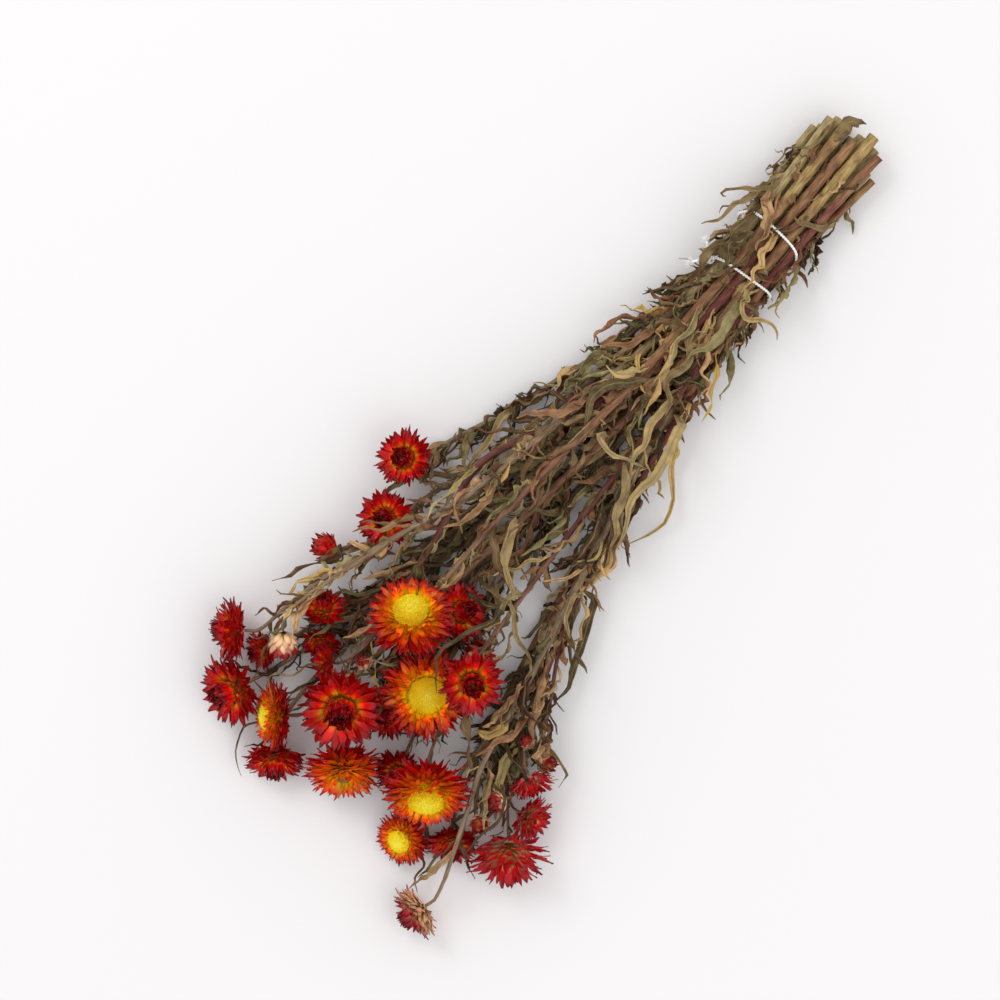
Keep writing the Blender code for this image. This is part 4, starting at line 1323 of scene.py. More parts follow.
@dataclass(frozen=True)
class DriedLeaf:
    """Air-dried leaf: matte, brittle, crinkled between its veins, from dark olive to straw."""

    name: str = "air-dried leaf"
    green: Stops = (
        (0.0, "#2c2414"), (0.25, "#534a2b"), (0.5, "#7d724a"), (0.72, "#a19466"), (0.88, "#bba76c"),
        (1.0, "#cda852"),
    )
    brown: Stops = (
        (0.0, "#26150c"), (0.3, "#593825"), (0.55, "#87593d"), (0.78, "#ab7e5a"), (1.0, "#d0a878"),
    )
    midrib: str = "#a08c62"
    midrib_width: Span = (0.03, 0.11)
    blotch: float = 5.9
    patchy: float = 0.7
    crinkle: float = 2.1
    relief: float = 0.0011

    def build(self) -> bpy.types.Material:
        """Puts the material together, which reads each leaf's map and its tone.

        Returns:
            The material.
        """
        s = Surface(self.name, 0.72, 0.25)
        mapped = s.add("UVMap", {"uv_map": "UVMap"})
        split = s.add("SeparateXYZ", links={0: mapped})
        tone = s.add("Attribute", {"attribute_name": "tone"}).outputs["Fac"]
        where = s.add("TexCoord").outputs["Object"]
        # Blotches a few millimetres wide, where the leaf dried sooner or later
        blotch = s.add("TexNoise", {"Scale": per_metre(self.blotch), "Detail": 4.0}, {"Vector": where})
        spread = s.add("Math", {"operation": "MULTIPLY_ADD", 1: self.patchy, 2: -self.patchy / 2}, {0: blotch})
        level = s.add("Math", {"operation": "ADD"}, {0: tone, 1: spread})
        kind = s.add("Attribute", {"attribute_name": "row"}).outputs["Fac"]
        green = s.add("ValToRGB", {"stops": self.green}, {0: level})
        brown = s.add("ValToRGB", {"stops": self.brown}, {0: level})
        body = s.add("Mix", {"data_type": "RGBA"}, {FACTOR: kind, ONE: green, OTHER: brown})
        # The midrib is a paler line down the middle
        middle = s.add("Math", {"operation": "SUBTRACT", 1: 0.5}, {0: split})
        off = s.add("Math", {"operation": "ABSOLUTE"}, {0: middle})
        narrow, wide = self.midrib_width
        fade = {"From Min": narrow, "From Max": wide, "To Min": 0.55, "To Max": 0.0}
        rib = s.add("MapRange", fade, {"Value": off})
        pale = s.add(
            "Mix", {"data_type": "RGBA", OTHER: linear(self.midrib)}, {FACTOR: rib, ONE: body.outputs[MIXED]},
        )
        # Crinkles between the veins, about two millimetres apart
        fine = s.add("TexNoise", {"Scale": per_metre(self.crinkle), "Detail": 4.0}, {"Vector": where})
        both = s.add("Math", {"operation": "ADD"}, {0: fine, 1: rib})
        bump = s.add("Bump", {"Strength": 0.9, "Distance": self.relief}, {"Height": both})
        s.dress(pale.outputs[MIXED], bump)
        return s.material


@dataclass(frozen=True)
class DryBark:
    """Dry herb stem: woody skin with lengthwise ribs, duller and greyer towards the heads."""

    name: str
    stops: Stops
    girth: float = 18.0
    rib: float = 1.1
    rib_run: float = 6.7
    patch: float = 22.0
    patchy: float = 0.9
    relief: float = 0.0005

    def build(self) -> bpy.types.Material:
        """Puts the material together, which reads the way along each stem, and its map for the ribs.

        Returns:
            The material.
        """
        s = Surface(self.name, 0.6, 0.3)
        mapped = s.add("UVMap", {"uv_map": "UVMap"})
        along = s.add("Attribute", {"attribute_name": "tone"}).outputs["Fac"]
        where = s.add("TexCoord").outputs["Object"]
        # Ribs about a millimetre apart round the stem, each several times as long as wide
        repeats = (self.girth / self.rib, LeafyStem.map_length / self.rib_run, 1.0)
        stretch = s.add("VectorMath", {"operation": "MULTIPLY", 1: repeats}, {0: mapped})
        ribs = s.add("TexNoise", {"Scale": 1.0, "Detail": 3.0}, {"Vector": stretch})
        patch = s.add("TexNoise", {"Scale": per_metre(self.patch), "Detail": 2.0}, {"Vector": where})
        drift = s.add("Math", {"operation": "MULTIPLY_ADD", 1: self.patchy, 2: -self.patchy / 2}, {0: patch})
        level = s.add("Math", {"operation": "ADD"}, {0: along, 1: drift})
        body = s.add("ValToRGB", {"stops": self.stops}, {0: level})
        # The ribs' noise also scales the colour, lighter on the ridges and darker in the grooves: partly the
        # bark's own streaks, partly painted highlight and painted shade
        rib_light_and_shade = {"From Min": 0.3, "From Max": 0.7, "To Min": 0.5, "To Max": 1.5}
        gain = s.add("MapRange", rib_light_and_shade, {"Value": ribs})
        streaked_and_rib_shaded = s.add(
            "Mix", {"data_type": "RGBA", "blend_type": "MULTIPLY", FACTOR: 1.0}, {ONE: body, OTHER: gain},
        )
        bump = s.add("Bump", {"Strength": 0.6, "Distance": self.relief}, {"Height": ribs})
        s.dress(streaked_and_rib_shaded.outputs[MIXED], bump)
        return s.material


@dataclass(frozen=True)
class PlainFinish:
    """A matte finish with a fine mottle, for pith, string and receptacles."""

    name: str
    dark: str
    light: str
    roughness: float = 0.85
    grain: float = 1.1
    relief: float = 0.0002

    def build(self) -> bpy.types.Material:
        """Puts the material together.

        Returns:
            The material.
        """
        s = Surface(self.name, self.roughness, 0.2)
        where = s.add("TexCoord").outputs["Object"]
        speck = s.add("TexNoise", {"Scale": per_metre(self.grain), "Detail": 2.0}, {"Vector": where})
        colour = s.add("ValToRGB", {"stops": ((0.3, self.dark), (0.7, self.light))}, {0: speck})
        s.dress(colour, s.add("Bump", {"Strength": 0.3, "Distance": self.relief}, {"Height": speck}))
        return s.material


class Palette:
    """Every finish of the bunch, made once."""

    def __init__(self) -> None:
        """Builds the materials."""
        self.bracts = {
            Tint.CRIMSON: PaperyBract(
                "papery crimson bracts",
                outer=((0.0, "#ffac38"), (0.2, "#ee4a10"), (0.42, "#dc130f"), (0.8, "#b4090e"), (1.0, "#6e0509")),
                inner=((0.0, "#ffc024"), (0.24, "#f4560f"), (0.44, "#d40d10"), (0.8, "#9c060e"), (1.0, "#540309")),
            ).build(),
            Tint.ORANGE: PaperyBract(
                "papery orange bracts",
                outer=((0.0, "#f7a215"), (0.22, "#ee4c0a"), (0.5, "#da180c"), (0.82, "#b60b0c"), (1.0, "#80060a")),
                inner=((0.0, "#ffe010"), (0.34, "#ffbe08"), (0.6, "#fe8c05"), (0.82, "#f04a08"), (1.0, "#c01a0a")),
                rows=(0.42, 0.88),
            ).build(),
            Tint.PINK: PaperyBract(
                "papery pink-backed bracts",
                outer=((0.0, "#b48a56"), (0.5, "#e6c190"), (0.8, "#dcab84"), (0.94, "#c8857a"), (1.0, "#a84a50")),
                inner=((0.0, "#e6c488"), (0.26, "#d98a6c"), (0.45, "#bb2530"), (0.8, "#930f1c"), (1.0, "#5a0710")),
                rows=(0.44, 0.64),
            ).build(),
        }
        self.star = PaperyBract(
            "papery narrow bracts",
            outer=((0.0, "#f3dcc6"), (0.34, "#e9b4ac"), (0.52, "#cc2a36"), (0.8, "#ad0e1a"), (1.0, "#6a0712")),
            inner=((0.0, "#ffe2b4"), (0.26, "#f6a878"), (0.46, "#da161c"), (0.8, "#b40b16"), (1.0, "#64050d")),
            rows=(0.1, 0.5),
        ).build()
        self.floret_bed = PlainFinish("dried floret bed", "#f4b808", "#ffdc18", 0.8).build()
        self.florets = Florets().build()
        self.leaf = DriedLeaf().build()
        self.bark = {
            Bark.OLIVE: DryBark(
                "dry olive bark",
                ((0.0, "#9e8a5e"), (0.3, "#87724f"), (0.6, "#76614a"), (1.0, "#8e785f")),
            ).build(),
            Bark.BROWN: DryBark(
                "dry brown bark",
                ((0.0, "#a08753"), (0.22, "#8c6743"), (0.6, "#754d38"), (1.0, "#8a6b52")),
            ).build(),
            Bark.RED_BROWN: DryBark(
                "dry red-brown bark",
                ((0.0, "#8d6b45"), (0.2, "#6f3a2e"), (0.6, "#5f2f29"), (1.0, "#805948")),
            ).build(),
        }
        self.pith = PlainFinish("cut pith", "#a08d5e", "#cfc08d").build()
        self.string = PlainFinish("bleached cotton twine", "#eeece6", "#ffffff").build()
        self.receptacle = PlainFinish("dry receptacle", "#5d3c1c", "#a4702c").build()


class Piece:
    """A mesh that is being put together from laid grids and turned shapes, in millimetres from the tie."""

    def __init__(self, name: str, materials: Sequence[bpy.types.Material]) -> None:
        """Starts an empty mesh with a map and its two attributes.

        Args:
            name: The piece's name.
            materials: Its materials, in slot order.
        """
        self.name = name
        self.materials = list(materials)
        self.bm = bmesh.new()
        self.map = self.bm.loops.layers.uv.new("UVMap")
        self.tone = self.bm.verts.layers.float.new("tone")
        self.row = self.bm.verts.layers.float.new("row")

    def mark(self, verts: Sequence[bmesh.types.BMVert], tone: float, row: float, slot: int) -> None:
        """Gives new points their attributes, and their faces a material.

        Args:
            verts: The new points.
            tone: Their tone.
            row: Their row, from outer to inner.
            slot: Their faces' material slot.
        """
        for vert in verts:
            vert[self.tone] = tone
            vert[self.row] = row
            for face in vert.link_faces:
                face.material_index = slot
                face.smooth = True

    def lay(
        self, columns: int, rows: int, place: Place, tone: float = 0.5, row: float = 0.0, slot: int = 0
    ) -> list[bmesh.types.BMVert]:
        """Lays a flat grid as a blade, a bract or a skin.

        Args:
            columns: How many faces across.
            rows: How many faces along.
            place: Gives each point its place from its shares across and along.
            tone: The piece's tone.
            row: The piece's row.
            slot: The material slot.

        Returns:
            The grid's points.
        """
        made = bmesh.ops.create_grid(self.bm, x_segments=columns, y_segments=rows, size=0.5, calc_uvs=True)
        verts = made["verts"]
        for vert in verts:
            vert.co = place(vert.co.x + 0.5, vert.co.y + 0.5)
        self.mark(verts, tone, row, slot)
        return verts

    def close(self, weld: float, slot: int = 0) -> None:
        """Welds the seams of laid skins, caps their open ends and turns their faces outwards.

        Args:
            weld: The distance in millimetres within which points become one.
            slot: The caps' material slot.
        """
        bmesh.ops.remove_doubles(self.bm, verts=self.bm.verts, dist=weld)
        edges = [e for e in self.bm.edges if e.is_boundary]
        for face in bmesh.ops.holes_fill(self.bm, edges=edges)["faces"]:
            face.material_index = slot
        bmesh.ops.recalc_face_normals(self.bm, faces=self.bm.faces)

    def finish(self, node: str, slot: str, thickness: float = 0.0) -> bpy.types.Object:
        """Makes the object, in metres at the model's origin, and lets it stand for a node.

        Args:
            node: The node that it replaces.
            slot: The node's material slot; not used.
            thickness: The thickness in millimetres to give to laid grids, or 0.

        Returns:
            The object.
        """
        bmesh.ops.translate(self.bm, verts=self.bm.verts, vec=(TIE_X, TIE_Y, 0))
        bmesh.ops.scale(self.bm, verts=self.bm.verts, vec=(MM, MM, MM))
        mesh = bpy.data.meshes.new(self.name)
        self.bm.to_mesh(mesh)
        self.bm.free()
        for material in self.materials:
            mesh.materials.append(material)
        obj = bpy.data.objects.new(self.name, mesh)
        bpy.context.scene.collection.objects.link(obj)
        if thickness:
            solid = obj.modifiers.new("paper thickness", "SOLIDIFY")
            solid.thickness = thickness * MM
            solid.offset = 0.0
        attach(obj, "root")
        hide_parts(node)
        return obj


@dataclass(frozen=True)
class HeadStyle:
    """How the bracts of one kind of head are set, in shares of its radius.

    Tips and roots are (share of the way in, radius, height), from the outermost bract to the innermost.
    """

    bracts: int
    tips: Route
    roots: Route
    width: float
    point: float
    cup: float
    arch: float
    core: Span
    disc: float = 0.0
    florets: int = 0


STYLES: dict[Opening, HeadStyle] = {
    Opening.OPEN: HeadStyle(
        bracts=270,
        tips=((0, 0.42, -0.42), (0.12, 0.78, -0.36), (0.26, 1.02, -0.24), (0.48, 1.01, -0.05), (0.68, 0.86, 0.13),
              (0.84, 0.70, 0.27), (1, 0.52, 0.34)),
        roots=((0, 0.10, -0.48), (0.3, 0.26, -0.36), (0.6, 0.38, -0.12), (1, 0.43, 0.09)),
        width=0.125, point=2.3, cup=0.50, arch=0.09, core=(0.38, 0.34), disc=0.41, florets=460,
    ),
    Opening.CUPPED: HeadStyle(
        bracts=150,
        tips=((0, 0.44, -0.42), (0.14, 0.86, -0.30), (0.30, 1.02, -0.08), (0.50, 0.98, 0.14), (0.66, 0.86, 0.28),
              (0.70, 0.36, 0.46), (1, 0.05, 0.54)),
        roots=((0, 0.10, -0.48), (0.3, 0.28, -0.38), (0.56, 0.40, -0.10), (0.66, 0.42, 0.02), (0.70, 0.36, 0.0),
               (1, 0.22, 0.08)),
        width=0.21, point=2.4, cup=0.50, arch=0.12, core=(0.28, 0.34),
    ),
    Opening.SMALL: HeadStyle(
        bracts=96,
        tips=((0, 0.44, -0.42), (0.15, 0.86, -0.28), (0.34, 1.02, -0.04), (0.56, 0.95, 0.20), (0.70, 0.80, 0.34),
              (0.74, 0.34, 0.50), (1, 0.06, 0.57)),
        roots=((0, 0.10, -0.48), (0.3, 0.28, -0.38), (0.62, 0.40, -0.08), (0.70, 0.40, 0.02), (0.74, 0.34, 0.0),
               (1, 0.20, 0.08)),
        width=0.26, point=2.0, cup=0.50, arch=0.18, core=(0.28, 0.34),
    ),
    Opening.STAR: HeadStyle(
        bracts=78,
        tips=((0, 0.40, -0.42), (0.15, 0.80, -0.2), (0.35, 1.03, 0.0), (0.6, 0.96, 0.30), (0.85, 0.62, 0.52),
              (1, 0.22, 0.52)),
        roots=((0, 0.08, -0.48), (0.3, 0.22, -0.38), (0.6, 0.26, -0.16), (1, 0.14, 0.04)),
        width=0.19, point=2.4, cup=0.42, arch=0.08, core=(0.22, 0.34),
    ),
    Opening.BUD: HeadStyle(
        bracts=44,
        tips=((0, 0.80, -0.45), (0.3, 1.0, -0.05), (0.55, 0.92, 0.30), (0.8, 0.56, 0.70), (1, 0.08, 0.84)),
        roots=((0, 0.20, -0.96), (0.4, 0.55, -0.62), (0.75, 0.60, -0.2), (1, 0.30, 0.2)),
        width=0.50, point=1.2, cup=0.45, arch=0.18, core=(0.60, 0.72),
    ),
}

# A head whose innermost bracts still lean over its disc
VEILED = HeadStyle(
    bracts=190,
    tips=((0, 0.42, -0.42), (0.12, 0.80, -0.36), (0.28, 1.04, -0.20), (0.55, 1.02, 0.06), (0.8, 0.72, 0.32),
          (1, 0.26, 0.40)),
    roots=((0, 0.10, -0.48), (0.3, 0.26, -0.36), (0.6, 0.30, -0.12), (1, 0.16, 0.06)),
    width=0.15, point=1.9, cup=0.45, arch=0.06, core=(0.26, 0.30),
)


@dataclass
class FlowerHead:
    """A head: overlapping bracts set in a golden-angle spiral round a receptacle, and its disc of florets.

    Most sizes are shares of the head's radius or of a bract's length. Pairs are ranges to draw from.
    """

    name: str
    bloom: Bloom
    palette: Palette
    columns: int = 3
    rows: int = 6
    thickness: float = 0.22
    widest: float = 0.55
    tip_width: float = 0.03
    stretch: Span = (0.88, 1.12)
    broad: Span = (0.85, 1.12)
    hollow: Span = (0.6, 1.4)
    curl: Span = (-0.12, 0.24)
    scatter: float = 0.05
    turned: float = 0.08
    skew: float = 0.14
    twist: float = 0.6
    narrowed: float = 0.75
    full_length: float = 0.7
    crease: float = 0.045
    crease_beats: Span = (0.9, 3.2)
    over_table: float = 0.05
    core_segments: tuple[int, int] = (18, 12)
    core_sunk: float = 0.08
    dome: Span = (0.29, 0.15)
    floret_lean: float = 0.7
    floret_rise: float = 0.22
    floret_length: Span = (1.4, 2.4)
    floret_foot: float = 0.24
    floret_mouth: Span = (0.22, 0.40)
    floret_tone: Span = (0.3, 0.7)
    middle_tone: float = 0.3
    foot_tone: float = 0.25

    def __post_init__(self) -> None:
        """Picks the head's style and finishes, and starts its two pieces."""
        name, bloom, palette = self.name, self.bloom, self.palette
        self.style = VEILED if name == "bloom_06" else STYLES[bloom.opening]
        self.frame = bloom.frame()
        self.rng = random.Random(SEED + int(name[-2:]))
        finish = palette.star if bloom.opening is Opening.STAR else palette.bracts[bloom.tint]
        self.piece = Piece(f"{name}_bracts", [finish])
        middle = palette.floret_bed if self.style.florets else palette.receptacle
        self.core = Piece(f"{name}_core", [middle, palette.florets])

    def bract_place(self, share: float, angle: float) -> Place:
        """How a grid is laid as one bract.

        Args:
            share: How far in the bract is, from 0 at the outside to 1.
            angle: Its place round the head.

        Returns:
            The function that places each of its points.
        """
        style, rng, radius = self.style, self.rng, self.bloom.radius
        steps, tip_r, tip_z = zip(*style.tips, strict=True)
        marks, root_r, root_z = zip(*style.roots, strict=True)
        stretch = rng.uniform(*self.stretch)
        seed = Vector((rng.uniform(0, 50), rng.uniform(0, 50), 0))
        height = np.interp(share, steps, tip_z) + rng.uniform(-self.scatter, self.scatter)
        tip = Vector((np.interp(share, steps, tip_r) * stretch, height)) * radius
        root = Vector((np.interp(share, marks, root_r), np.interp(share, marks, root_z))) * radius
        along = tip - root
        outward = Vector((along.y, -along.x))
        bend = (root + tip) / 2 + outward * (style.arch + rng.uniform(-self.scatter, self.scatter))
        half = style.width * radius * rng.uniform(*self.broad) / 2
        half *= self.narrowed + (1 - self.narrowed) * min(1.0, along.length / (self.full_length * radius))
        cup = style.cup * rng.uniform(*self.hollow)
        skew = rng.uniform(-self.skew, self.skew) * along.length
        twist = rng.uniform(-self.twist, self.twist)
        curl = rng.uniform(*self.curl) * along.length
        radial = Vector((math.cos(angle), math.sin(angle), 0))
        sideways = Vector((-math.sin(angle), math.cos(angle), 0))

        def place(u: float, v: float) -> Vector:
            """Places a point.

            Args:
                u: Its share of the way across.
                v: Its share of the way along.

            Returns:
                Its place.
            """
            x = 2 * u - 1
            flat = root * (1 - v) ** 2 + bend * (2 * v * (1 - v)) + tip * v**2
            slope = ((bend - root) * (1 - v) + (tip - bend) * v).normalized()
            flat = flat + Vector((slope.y, -slope.x)) * (curl * max(0.0, v - 0.5) ** 2 * 4)
            if v < self.widest:
                spread = 0.5 + 0.5 * math.sin(math.pi / 2 * v / self.widest)
            else:
                spread = 1 - ((v - self.widest) / (1 - self.widest)) ** style.point
            spread = max(spread, self.tip_width) * half
            middle = radial * flat.x + Vector((0, 0, flat.y)) + sideways * skew * v * v
            inward = radial * -slope.y + Vector((0, 0, slope.x))
            lift = cup * spread * x * x + twist * spread * x * v
            beats = Vector((x * self.crease_beats[0], v * self.crease_beats[1], 0))
            rough = noise.noise_vector(beats + seed) * (self.crease * radius * min(1.0, 2 * v))
            point = self.frame @ (middle + sideways * (x * spread) + inward * lift + rough)
            point.z = max(point.z, self.over_table)
            return point

        return place

    def make_bracts(self) -> None:
        """The bracts, from the outermost scale to the innermost."""
        count = self.style.bracts
        for k in range(count):
            share = (k + self.rng.uniform(0, 0.9)) / count
            place = self.bract_place(share, k * GOLDEN_ANGLE + self.rng.uniform(-self.turned, self.turned))
            self.piece.lay(self.columns, self.rows, place, self.rng.random(), share)

    def make_core(self) -> None:
        """The receptacle, with the florets on it where the head is open."""
        radius, bm = self.bloom.radius, self.core.bm
        wide, tall = (share * radius for share in self.style.core)
        around, up = self.core_segments
        made = bmesh.ops.create_uvsphere(bm, u_segments=around, v_segments=up, radius=1.0)
        middle = Matrix.Translation((0, 0, -self.core_sunk * radius)) @ Matrix.Diagonal((wide, wide, tall, 1))
        bmesh.ops.transform(bm, verts=made["verts"], matrix=self.frame @ middle)
        self.core.mark(made["verts"], 0.5, 0.0, 0)
        for number in range(self.style.florets):
            self.add_floret(number)

    def add_floret(self, number: int) -> None:
        """Stands one floret on the disc, which rises to its middle.

        Args:
            number: Its place in the spiral, from the middle.
        """
        share = (number + 0.5) / self.style.florets
        reach = self.style.disc * self.bloom.radius * math.sqrt(share)
        angle = number * GOLDEN_ANGLE
        rise = (self.dome[0] - self.dome[1] * share) * self.bloom.radius
        rise += self.rng.uniform(-self.floret_rise, self.floret_rise)
        lean = Matrix.Rotation(share * self.floret_lean, 4, Vector((-math.sin(angle), math.cos(angle), 0)))
        depth = self.rng.uniform(*self.floret_length)
        spot = Matrix.Translation((reach * math.cos(angle), reach * math.sin(angle), rise)) @ lean
        cone = bmesh.ops.create_cone(
            self.core.bm, cap_ends=True, segments=4, radius1=self.floret_foot,
            radius2=self.rng.uniform(*self.floret_mouth), depth=depth, matrix=self.frame @ spot,
        )
        tone = self.rng.uniform(*self.floret_tone) + self.middle_tone * (1 - share) ** 2
        self.core.mark(cone["verts"], tone, 0.0, 1)
        back = self.frame.inverted()
        for vert in cone["verts"]:
            if (back @ vert.co).z < rise:
                vert[self.core.tone] = self.foot_tone

    def build(self) -> None:
        """Makes both pieces, which replace the head's plain solid."""
        self.make_bracts()
        self.make_core()
        self.piece.finish(self.name, self.bloom.tint.value, self.thickness)
        self.core.finish(self.name, self.bloom.tint.value)
        LOG.info("%s: %s, %s bracts", self.name, self.bloom.opening.value, self.style.bracts)


class Smooth:
    """A smooth line through a strand's or a leaf's points, with a steady frame along it."""

    def __init__(self, points: Sequence[Vector], count: int) -> None:
        """Works the line out.

        Args:
            points: The points that it passes.
            count: How many steps it is read in.
        """
        points = np.array([tuple(p) for p in points], float)
        walked = walked_to(points)
        first = (points[1] - points[0]) / walked[1]
        last = (points[-1] - points[-2]) / (walked[-1] - walked[-2])
        self.points = [Vector(p) for p in path(points, [first, last], count + 1)]
        self.count = count
        self.ahead = []
        self.side = []
        side = None
        for i in range(count + 1):
            before, after = self.points[max(i - 1, 0)], self.points[min(i + 1, count)]
            ahead = (after - before).normalized()
            if side is None:
                side = ahead.cross(Vector((0, 0, 1)))
                side = side if side.length > 0.1 else ahead.orthogonal()
            side = (side - ahead * side.dot(ahead)).normalized()
            self.ahead.append(ahead)
            self.side.append(side)

    def read(self, share: float) -> tuple[Vector, Vector, Vector]:
        """The place, the way ahead and the side at a share of the way along."""
        index = min(self.count, max(0, round(share * self.count)))
        return self.points[index], self.ahead[index], self.side[index]


@dataclass
class LeafyStem:
    """A stem with its side stalks in ribbed bark, and its crumpled leaves.

    Pairs are ranges to draw from. Marked leaves, which stand out, take shares of what the others draw.
    """

    name: str
    layout: Layout
    palette: Palette
    sides: int = 12
    ring_step: float = 3.0
    thinner: float = 0.3
    ribs: int = 6
    rib_height: float = 0.05
    lump: float = 0.06
    lump_beats: float = 0.11
    joint_step: float = 31.0
    joint_swell: float = 0.16
    joint_length: float = 1.8
    bend: float = 0.5
    bend_beats: float = 0.045
    bent: Span = (0.02, 0.96)
    bark_over_table: float = 0.03
    branch_tone: float = 0.45
    seam: float = 0.01
    map_length: float = 60.0
    columns: int = 4
    rows: int = 18
    small_columns: int = 3
    small_rows: int = 10
    leaf_thickness: float = 0.3
    roll: Span = (0.4, 2.5)
    ruffle: Span = (0.25, 0.7)
    ruffles: Span = (2.0, 5.0)
    other_edge: float = 1.9
    sway: Span = (0.4, 1.5)
    sways: Span = (1.2, 3.0)
    stray: Span = (1.0, 4.5)
    stray_beats: float = 0.085
    turn: float = 1.4
    lean: float = 0.3
    marked_shares: tuple[float, float, float, float] = (0.7, 1.5, 0.8, 0.4)
    tip_width: float = 0.07
    outline: Span = (0.72, 0.7)
    uneven: float = 0.18
    crinkle: float = 0.55
    crinkle_beats: float = 0.33
    leaf_over_table: float = 0.12
    shrivelled_from: float = 295.0
    shrivelled: float = 0.55
    tones: Span = (0.62, 0.24)
    kinds: Span = (0.55, 0.45)
    marked_kind: float = 0.35
    darkest: float = 0.12
    # How much tone leaves low in the bunch lose as painted shade, and the height in millimetres below which it
    # starts
    painted_shade_tone: float = 0.34
    painted_shade_below: float = 24.0

    def __post_init__(self) -> None:
        """Gathers the stem's strands and leaves, and starts its two pieces."""
        name, layout, palette = self.name, self.layout, self.palette
        self.stem = STEMS[name]
        self.strands = [s for s in layout.strands if s.node == name]
        self.leaves = layout.leaves[name] + layout.extra[name]
        self.large = len(layout.leaves[name])
        self.rng = random.Random(SEED + 100 + int(name[-2:]))
        self.bark = Piece(f"{name}_bark", [palette.bark[self.stem.bark], palette.pith])
        self.foliage = Piece(f"{name}_leaves", [palette.leaf])

    def skin(self, strand: Strand) -> None:
        """Lays bark round one strand, with low ribs and a swelling at each leaf joint.

        Args:
            strand: The stem itself or a side stalk.
        """
        length = float(walked_to(strand.points)[-1])
        rings = int(length / self.ring_step)
        line = Smooth([Vector(p) for p in strand.points], rings)
        along = np.linspace(0, 1, len(strand.radii))
        begin = 0.0 if strand.parent is None else self.branch_tone
        phase = self.rng.uniform(0, self.joint_step)
        turn = self.rng.uniform(0, math.tau)

        def place(u: float, v: float) -> Vector:
            """Places a point.

            Args:
                u: Its share of the way round.
                v: Its share of the way along.

            Returns:
                Its place.
            """
            middle, ahead, side = line.read(v)
            radius = float(np.interp(v, along, strand.radii)) * (1 - self.thinner * v * v)
            joint = (v * length + phase) % self.joint_step - self.joint_step / 2
            swell = 1 + self.joint_swell * math.exp(-((joint / self.joint_length) ** 2))
            angle = u * math.tau
            lump = noise.noise(middle * self.lump_beats + Vector((angle, 0, 0)))
            rib = 1 + self.rib_height * math.cos(self.ribs * angle + turn) + self.lump * lump
            beats = middle * self.bend_beats
            wander = Vector((noise.noise(beats), noise.noise(beats + Vector((9, 9, 9))), 0)) * self.bend
            up = ahead.cross(side)
            point = middle + (side * math.cos(angle) + up * math.sin(angle)) * radius * swell * rib
            if self.bent[0] < v < self.bent[1]:
                point += wander * min(1.0, radius)
            point.z = max(point.z, self.bark_over_table)
            return point

        verts = self.bark.lay(self.sides, rings, place)
        for vert in verts:
            share = (vert.co - line.points[0]).length / max(length, 1)
            vert[self.bark.tone] = min(1.0, begin + (1 - begin) * share)
        for face in {f for vert in verts for f in vert.link_faces}:
            for loop in face.loops:
                loop[self.bark.map].uv.y *= length / self.map_length

    def leaf_place(self, leaf: Leaf, rows: int) -> Place:
        """How a grid is laid as one dried leaf: tapered, curled in, waved and crinkled.

        Args:
            leaf: The leaf's line.
            rows: How many faces long the grid is.

        Returns:
            The function that places each of its points.
        """
        rng = self.rng
        line = Smooth(leaf.points, rows)
        width = max(leaf.widths)
        if leaf.points[0].x > self.shrivelled_from:
            width *= self.shrivelled
        of_roll, of_sway, of_stray, of_turn = self.marked_shares if leaf.marked else (1.0,) * 4
        roll = rng.uniform(*self.roll) * of_roll
        wave = rng.uniform(*self.ruffle)
        sway = rng.uniform(*self.sway) * of_sway
        sways = rng.uniform(*self.sways)
        stray = rng.uniform(*self.stray) * of_stray
        turn = rng.uniform(-self.turn, self.turn) * of_turn
        beats = rng.uniform(*self.ruffles) * rows / self.rows
        phase = rng.uniform(0, math.tau)
        lean = rng.uniform(-self.lean, self.lean)
        seed = Vector((rng.uniform(0, 90), rng.uniform(0, 90), rng.uniform(0, 90)))
        marks = np.linspace(0, 1, len(leaf.normals))
        steps = np.linspace(0, 1, rows + 1)
        lift = [np.interp(steps, marks, [n[k] for n in leaf.normals]) for k in range(3)]

        def place(u: float, v: float) -> Vector:
            """Places a point.

            Args:
                u: Its share of the way across.
                v: Its share of the way along.

            Returns:
                Its place.
            """
            x = 2 * u - 1
            index = round(v * rows)
            middle, ahead, _ = line.read(v)
            normal = Vector((lift[0][index], lift[1][index], lift[2][index]))
            normal = (normal - ahead * normal.dot(ahead)).normalized()
            normal.rotate(Matrix.Rotation(turn * v, 3, ahead))
            side = ahead.cross(normal)
            swing = math.tau * sways * v + phase
            away = side * math.sin(swing) + normal * math.cos(swing * 1.3)
            wander = noise.noise_vector(middle * self.stray_beats + seed) * stray
            middle = middle + (away * sway + wander) * min(1.0, 2 * v)
            taper = abs(math.sin(math.pi * min(v, 1) ** self.outline[0])) ** self.outline[1]
            half = width / 2 * max(self.tip_width, taper)
            half *= 1 + self.uneven * noise.noise(middle * self.uneven + seed)
            bend = roll * x
            across = side * (math.sin(bend) / max(roll, 0.05) * half)
            up = normal * ((1 - math.cos(bend)) / max(roll, 0.05) * half)
            beat = beats * math.tau * v + phase + (x > 0) * self.other_edge + lean
            ruffle = normal * (wave * half * abs(x) * math.sin(beat))
            crinkle = noise.noise_vector(middle * self.crinkle_beats + side * x * 2 + seed)
            point = middle + across + up + ruffle + crinkle * (self.crinkle * min(1.0, half))
            point.z = max(point.z, self.leaf_over_table)
            return point

        return place

    def make_leaves(self) -> None:
        """Every leaf of the stem."""
        for k, leaf in enumerate(self.leaves):
            small = k >= self.large and not leaf.marked
            columns, rows = (self.small_columns, self.small_rows) if small else (self.columns, self.rows)
